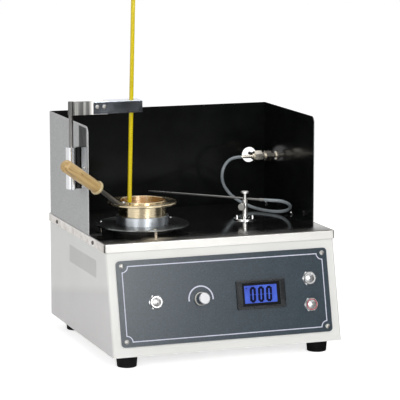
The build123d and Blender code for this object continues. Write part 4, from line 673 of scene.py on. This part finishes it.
def thermometer_paint():
    """Yellow-backed glass with dark division lines, long and short, round its front and right."""
    fine_gap, coarse_gap, scale_low, scale_high, ink_share = 1.2 * MM, 6.0 * MM, 60, 300, 0.45
    f = Finish("thermometer_scale", lin(232, 208, 28), 0.18, Coat_Weight=0.25, Coat_Roughness=0.04)
    xyz = f.node("ShaderNodeSeparateXYZ")
    f.feed(xyz.inputs[0], f.mapped(turn=(0, -stem_lean, 0)))
    height = xyz.outputs["Z"]
    facing = f.node("ShaderNodeSeparateXYZ")
    f.feed(facing.inputs[0], f.node("ShaderNodeNewGeometry").outputs["Normal"])

    def lines(gap, share, turned_right):
        """Level lines that take a share of each gap, where the glass faces far enough right."""
        line = f.math("LESS_THAN", f.math("FRACT", f.math("DIVIDE", height, gap)), share)
        return f.product(line, f.math("GREATER_THAN", facing.outputs["X"], turned_right))

    mark = f.product(
        f.math(
            "MAXIMUM",
            lines(gap=fine_gap, share=0.22, turned_right=0.35),
            lines(gap=coarse_gap, share=0.06, turned_right=-0.1),
        ),
        f.math("GREATER_THAN", height, (z_deck + scale_low) * MM),
        f.math("LESS_THAN", height, (z_deck + scale_high) * MM),
        f.math("LESS_THAN", facing.outputs["Y"], 0.0),
    )
    tone = f.ramp(f.noise(40.0, 2.0), [(0.3, lin(216, 194, 10)), (0.7, lin(226, 206, 20))])
    f.color(f.mix(f.product(mark, ink_share), tone, lin(96, 82, 20)))
    return f.mat


finishes = {
    "case": case_paint(),
    "deck": deck_steel(),
    "shield": shield_paint(),
    "panel": panel_paint(),
    "brass": brass(),
    "wood": wood(),
    "collar": plain("collar_cream", lin(190, 173, 130), 0.34, 120.0, 0.04, Coat_Weight=0.2),
    "chrome": steel("chrome_bright", (0.80, 0.80, 0.80), 0.10, 60.0, bump=0.02, spread=0.04),
    "pale": steel("pale_satin_steel", (0.84, 0.83, 0.81), 0.36),
    "satin": steel("satin_steel", (0.62, 0.62, 0.61), 0.24, 90.0, (0.1, 0.1, 5.0), bump=0.06),
    "guide": guide_steel(),
    "bracket": steel("bracket_polished", (0.58, 0.63, 0.70), 0.12, 40.0, (0.4, 1.0, 1.5), spread=0.05),
    "tang": steel("tang_steel", (0.36, 0.34, 0.31), 0.38, 80.0, bump=0.08, spread=0.08),
    "ring": steel(
        "seat_aluminium",
        (0.66, 0.70, 0.74),
        0.40,
        160.0,
        (0.1, 0.1, 8.0),
        bump=0.03,
        spread=0.03,
        turned=0.7,
    ),
    "post": steel("standoff_steel", (0.42, 0.38, 0.33), 0.3),
    "disc": steel("hot_plate_steel", (0.20, 0.21, 0.21), 0.30, 50.0, bump=0.03, spread=0.04, turned=0.8),
    "knob": knob_metal(),
    "mode": button_metal("mode_steel", mode_x, mode_down),
    "start": button_metal("start_steel", side_x, start_down),
    "power": button_metal("power_steel", side_x, power_down),
    "housing": housing_steel(),
    "screw": steel("screw_steel", (0.46, 0.45, 0.43), 0.34, bump=0.06),
    # The rim screws are painted dark all over, as painted shade in their hex recesses.
    "dark_screw": steel("rim_screw_steel", (0.15, 0.145, 0.14), 0.34, bump=0.06),
    "rod": steel("rod_steel", (0.24, 0.236, 0.228), 0.3, stretch=(1.0, 1.0, 0.1)),
    "arm": arm_steel(),
    "tube": steel("tube_steel", (0.25, 0.247, 0.24), 0.3),
    "nickel": steel("valve_nickel", (0.78, 0.73, 0.64), 0.24, 60.0, bump=0.06, spread=0.08),
    "black": plain("bezel_black", lin(27, 31, 34), 0.26, 60.0, 0.01),
    "black_matte": plain("black_matte", lin(24, 24, 25), 0.55, 500.0, 0.1),
    "rubber": plain("foot_rubber", lin(14, 14, 15), 0.7, 350.0, 0.2, Specular_IOR_Level=0.15),
    "red": plain("ring_red", lin(170, 30, 46), 0.3, 200.0, 0.03),
    "hose": hose_rubber(),
    "blue": display_blue(),
    "digit": plain("digit_navy", lin(8, 10, 40), 0.6, 300.0, 0.02, Specular_IOR_Level=0.1),
    "print": plain("print_lavender", lin(206, 208, 224), 0.5, 500.0, 0.03),
    "glass_yellow": thermometer_paint(),
    "bulb": plain("bulb_glass", lin(150, 152, 156), 0.08, 100.0, 0.02, Coat_Weight=0.8),
    "iron": plain("core_iron", lin(52, 50, 49), 0.62, 260.0, 0.3),
    "board": plain("board_green", lin(26, 78, 52), 0.4, 150.0, 0.1),
}
worn_by = {
    "case": ("base_case", "bottom_plate"),
    "deck": ("deck_pan",),
    "shield": ("wind_shield",),
    "panel": ("control_panel",),
    "brass": ("oil_cup",),
    "wood": ("cup_handle",),
    "collar": ("handle_collar",),
    "chrome": (
        "foot_screws", "button_nuts", "plate_screws", "shield_nuts", "applicator_base",
        "applicator_screws", "board_spacers",
    ),
    "pale": ("applicator_column", "height_lock", "applicator_spindle", "reach_lock"),
    "satin": ("potentiometer", "inlet_pins", "knob_shaft", "tang_rivet", "thermometer_bush", "valve_stem"),
    "guide": ("thermo_guide",),
    "bracket": ("thermo_bracket",),
    "tang": ("cup_tang",),
    "ring": ("cup_seat",),
    "post": ("plate_standoffs",),
    "disc": ("heater_plate",),
    "knob": ("heating_knob",),
    "mode": ("mode_button",),
    "start": ("start_button",),
    "power": ("power_button",),
    "housing": ("button_housings",),
    "screw": ("panel_screws", "guide_screws", "bracket_screws"),
    "dark_screw": ("case_screws",),
    "rod": ("thermo_rod",),
    "arm": ("thermo_arm",),
    "tube": ("applicator_arm",),
    "nickel": ("valve_body", "valve_nuts"),
    "black": ("meter_bezel",),
    "black_matte": ("meter_module", "mains_inlet", "valve_knob"),
    "rubber": ("rubber_feet",),
    "red": ("power_ring",),
    "hose": ("gas_hose_1", "gas_hose_2", "gas_hose_3"),
    "blue": ("meter_window",),
    "glass_yellow": ("thermometer_stem",),
    "bulb": ("thermometer_bulb",),
    "iron": ("heater_core",),
    "board": ("control_board",),
}
for key, names in worn_by.items():
    for name in names:
        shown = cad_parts[name].data
        shown.materials.clear()
        shown.materials.append(finishes[key])


# ---- mesh tools ------------------------------------------------------------------------------
sharp_edge = math.radians(35.0)


def piece(name, verts, faces, mat, body, slot, smooth=True):
    """A visible piece made from points and faces, with its normals out; its slot argument is not used."""
    mesh = bpy.data.meshes.new(name)
    mesh.from_pydata([tuple(v) for v in verts], [], faces)
    mesh.validate()
    obj = link_to_scene(name, mesh)
    work = bmesh.new()
    work.from_mesh(mesh)
    bmesh.ops.recalc_face_normals(work, faces=work.faces)
    for edge in work.edges:
        if len(edge.link_faces) == 2:
            edge.smooth = edge.calc_face_angle(0.0) < sharp_edge
    for face in work.faces:
        face.smooth = smooth
    work.to_mesh(mesh)
    work.free()
    mesh.materials.append(mat)
    if body:
        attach(obj, body)
    return obj


def ribbon(path, width, thick, out, closed=False):
    """A flat printed line along points that lie in one plane, whose normal is out."""
    count = len(path)
    least_step, sharpest = 1e-9, 0.5
    verts, faces = [], []
    for k, p in enumerate(path):
        step_in = p - (path[(k - 1) % count] if closed or k else p)
        step_out = (path[(k + 1) % count] if closed or k < count - 1 else p) - p
        way_in = (step_in if step_in.length > least_step else step_out).normalized()
        way_out = step_out.normalized() if step_out.length > least_step else way_in
        side = out.cross((way_in + way_out).normalized()).normalized()
        mitre = max(side.dot(out.cross(way_in).normalized()), sharpest)
        reach, rise = side * (width / 2 / mitre), out * thick
        verts += [p - reach, p + reach, p + reach + rise, p - reach + rise]
    last = count if closed else count - 1
    for k in range(last):
        here, there = 4 * k, 4 * ((k + 1) % count)
        for corner in range(4):
            turned = (corner + 1) % 4
            faces.append((here + corner, here + turned, there + turned, there + corner))
    if not closed:
        faces += [(0, 1, 2, 3), (4 * last, 4 * last + 3, 4 * last + 2, 4 * last + 1)]
    return verts, faces


def join(parts):
    """Several shapes as one list of points and one of faces."""
    verts, faces = [], []
    for part_verts, part_faces in parts:
        base = len(verts)
        verts += part_verts
        faces += [tuple(i + base for i in face) for face in part_faces]
    return verts, faces


def tube(line, radius, sides):
    """A round bar along points; its rings turn with the line and never twist."""
    verts, faces = [], []
    count = len(line)
    ways = [(line[min(k + 1, count - 1)] - line[max(k - 1, 0)]).normalized() for k in range(count)]
    side = ways[0].orthogonal().normalized()
    for p, way in zip(line, ways):
        side = (side - way * side.dot(way)).normalized()
        other = way.cross(side)
        for spoke in range(sides):
            a = 2 * math.pi * spoke / sides
            verts.append(p + (side * math.cos(a) + other * math.sin(a)) * radius)
    for here in range(0, (count - 1) * sides, sides):
        there = here + sides
        for spoke in range(sides):
            turned = (spoke + 1) % sides
            faces.append((here + spoke, here + turned, there + turned, there + spoke))
    faces.append(tuple(range(sides - 1, -1, -1)))
    faces.append(tuple((count - 1) * sides + spoke for spoke in range(sides)))
    return verts, faces


# ---- gas hose --------------------------------------------------------------------------------
# The hose leaves the valve, hangs down to the deck, loops round on it to the right and comes up
# to the barb at the tail of the applicator's arm.
hose_r, hose_sides = 2.3 * MM, 20
arm_turn = 134.6
barb_out, barb_up, barb_way = 31.0, 30.2, math.radians(arm_turn - 180)
hose_points = [
    (281.0, 217.0, 77.6),
    (268.8, 217.0, 77.6),
    (257.9, 215.8, 71.7),
    (250.8, 214.6, 61.5),
    (248.8, 214.4, 49.0),
    (252.3, 215.1, 36.8),
    (259.7, 215.8, 26.1),
    (269.0, 214.8, 17.0),
    (279.0, 210.3, 10.1),
    (287.8, 201.6, 5.7),
    (294.2, 190.3, 3.4),
    (299.4, 178.0, 2.7),
    (305.5, 166.0, 2.7),
    (312.9, 154.7, 2.9),
    (319.6, 143.2, 5.1),
    (323.1, 131.1, 9.3),
    (321.4, 119.4, 15.1),
    (315.1, 109.0, 20.7),
    (305.9, 100.5, 25.8),
    (294.4, 95.6, 29.5),
    (282.9, 97.7, 30.2),
    (pivot_x + barb_out * math.cos(barb_way), pivot_y + barb_out * math.sin(barb_way), barb_up),
]
spots = [at(*p) for p in hose_points]
# The applicator's joints bend the hose, so it has three runs, which meet halfway between points.
past_column, past_spindle = 17, 20
at_column = (spots[past_column - 1] + spots[past_column]) / 2
at_spindle = (spots[past_spindle - 1] + spots[past_spindle]) / 2
hose_paths = {
    "gas_hose_1": spots[:past_column] + [at_column],
    "gas_hose_2": [at_column] + spots[past_column:past_spindle] + [at_spindle],
    "gas_hose_3": [at_spindle] + spots[past_spindle:],
}


def smooth_line(name, points):
    """Points along the NURBS spline that these control points guide."""
    data = bpy.data.curves.new(name, "CURVE")
    data.dimensions = "3D"
    spline = data.splines.new("NURBS")
    spline.points.add(len(points) - 1)
    for control, p in zip(spline.points, points):
        control.co = (*p, 1)
    spline.order_u = 3
    spline.use_endpoint_u = True
    spline.resolution_u = 8
    guide = link_to_scene(name, data)
    bpy.context.view_layer.update()
    mesh = bpy.data.meshes.new_from_object(guide)
    line = [v.co.copy() for v in mesh.vertices]
    bpy.data.objects.remove(guide)
    bpy.data.meshes.remove(mesh)
    return line


def run(line):
    """The length of a line of points."""
    return sum((b - a).length for a, b in zip(line, line[1:]))


hose_lines = {name: smooth_line(name + "_path", points) for name, points in hose_paths.items()}
hose_pieces = {}
for name, line in hose_lines.items():
    seen_name = name.replace("gas_hose", "hose_run")
    hose_pieces[name] = piece(
        seen_name, *tube(line, hose_r, hose_sides), finishes["hose"], None, "hose_rubber"
    )
    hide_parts(name)
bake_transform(hose_pieces["gas_hose_1"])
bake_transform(hose_pieces["gas_hose_2"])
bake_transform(hose_pieces["gas_hose_3"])
print("hose", {name: round(run(line), 4) for name, line in hose_lines.items()})

# ---- printing on the panel -------------------------------------------------------------------
ink = 0.04 * MM
# The border's corners are cut inwards by quarter circles.
border_w, notch_r, notch_steps = 1.3 * MM, 8.2, 14
left_at, right_at, top_at, low_at = 22.6, 317.7, 20.3, 123.4
notches = [
    (right_at, top_at, 180, 90),
    (right_at, low_at, 270, 180),
    (left_at, low_at, 360, 270),
    (left_at, top_at, 90, 0),
]
border = []
for across, down, first, last in notches:
    for k in range(notch_steps + 1):
        a = math.radians(first + (last - first) * k / notch_steps)
        border.append(on_front(across + notch_r * math.cos(a), down + notch_r * math.sin(a), panel_t))
border_shape = ribbon(border, border_w, ink, front_n, closed=True)
piece("panel_border_line", *border_shape, finishes["print"], "base", "panel_print", smooth=False)

arc_r, arc_w, arc_right, arc_steps = 17.6, 1.9 * MM, 0.4, 39
arc_from, arc_to = 188.0, -6.0
arc = []
for k in range(arc_steps + 1):
    a = math.radians(arc_from + (arc_to - arc_from) * k / arc_steps)
    across, down = knob_x + arc_right + arc_r * math.cos(a), knob_down - arc_r * math.sin(a)
    arc.append(on_front(across, down, panel_t))
arc_shape = ribbon(arc, arc_w, ink, front_n)
piece("knob_scale_arc", *arc_shape, finishes["print"], "base", "panel_print", smooth=False)

# ---- figures on the display ------------------------------------------------------------------
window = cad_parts["meter_window"].data
window_proud = max((v.co - on_front(0, 0)).dot(front_n) for v in window.vertices)
figure_clear = 0.01
figure_proud = window_proud / MM + figure_clear


def bar(across, down, length, thick, upright, lean_by=0.0):
    """One bar of a seven-segment figure with cut corners, lying on the display."""
    half_l, half_t = length / 2, thick / 2
    corner = 0.35 * half_t
    quarter = [(half_l, half_t - corner), (half_l - corner, half_t)]
    outline = quarter + [(-x, y) for x, y in quarter[::-1]]
    outline += [(-x, -y) for x, y in outline]
    points = [(y, x) if upright else (x, y) for x, y in outline]
    low = []
    for x, y in points:
        leant = lean_by * (y + down - meter_down)
        low.append(on_front(across + x - leant, down + y, figure_proud))
    high = [p + front_n * ink for p in low]
    count = len(low)
    faces = [tuple(range(count)), tuple(range(2 * count - 1, count - 1, -1))]
    faces += [(k, k + count, (k + 1) % count + count, (k + 1) % count) for k in range(count)]
    return low + high, faces


# Three zeros, each of four upright bars and two level ones, and a small sign at the upper left.
figure_w, figure_h, bar_t, figure_lean = 9.0, 21.8, 3.5, 0.03
figure_down = meter_down + 0.4
column, row = (figure_w - bar_t) / 2, (figure_h - bar_t) / 2
upright_l, level_l = row - 0.3, 2 * column - 0.2
sign_left, sign_up, sign_w, sign_t = 22.0, 9.0, 2.6, 0.9
bars = []
for middle in (meter_x - 12.7, meter_x - 0.5, meter_x + 11.4):
    for half in (-1, 1):
        for side in (-1, 1):
            place = (middle + side * column, figure_down + half * row / 2)
            bars.append(bar(*place, upright_l, bar_t, True, figure_lean))
        bars.append(bar(middle, figure_down + half * row, level_l, bar_t, False, figure_lean))
bars.append(bar(meter_x - sign_left, meter_down - sign_up, sign_w, sign_t, False))
piece("display_figures", *join(bars), finishes["digit"], "base", "black_gloss", smooth=False)
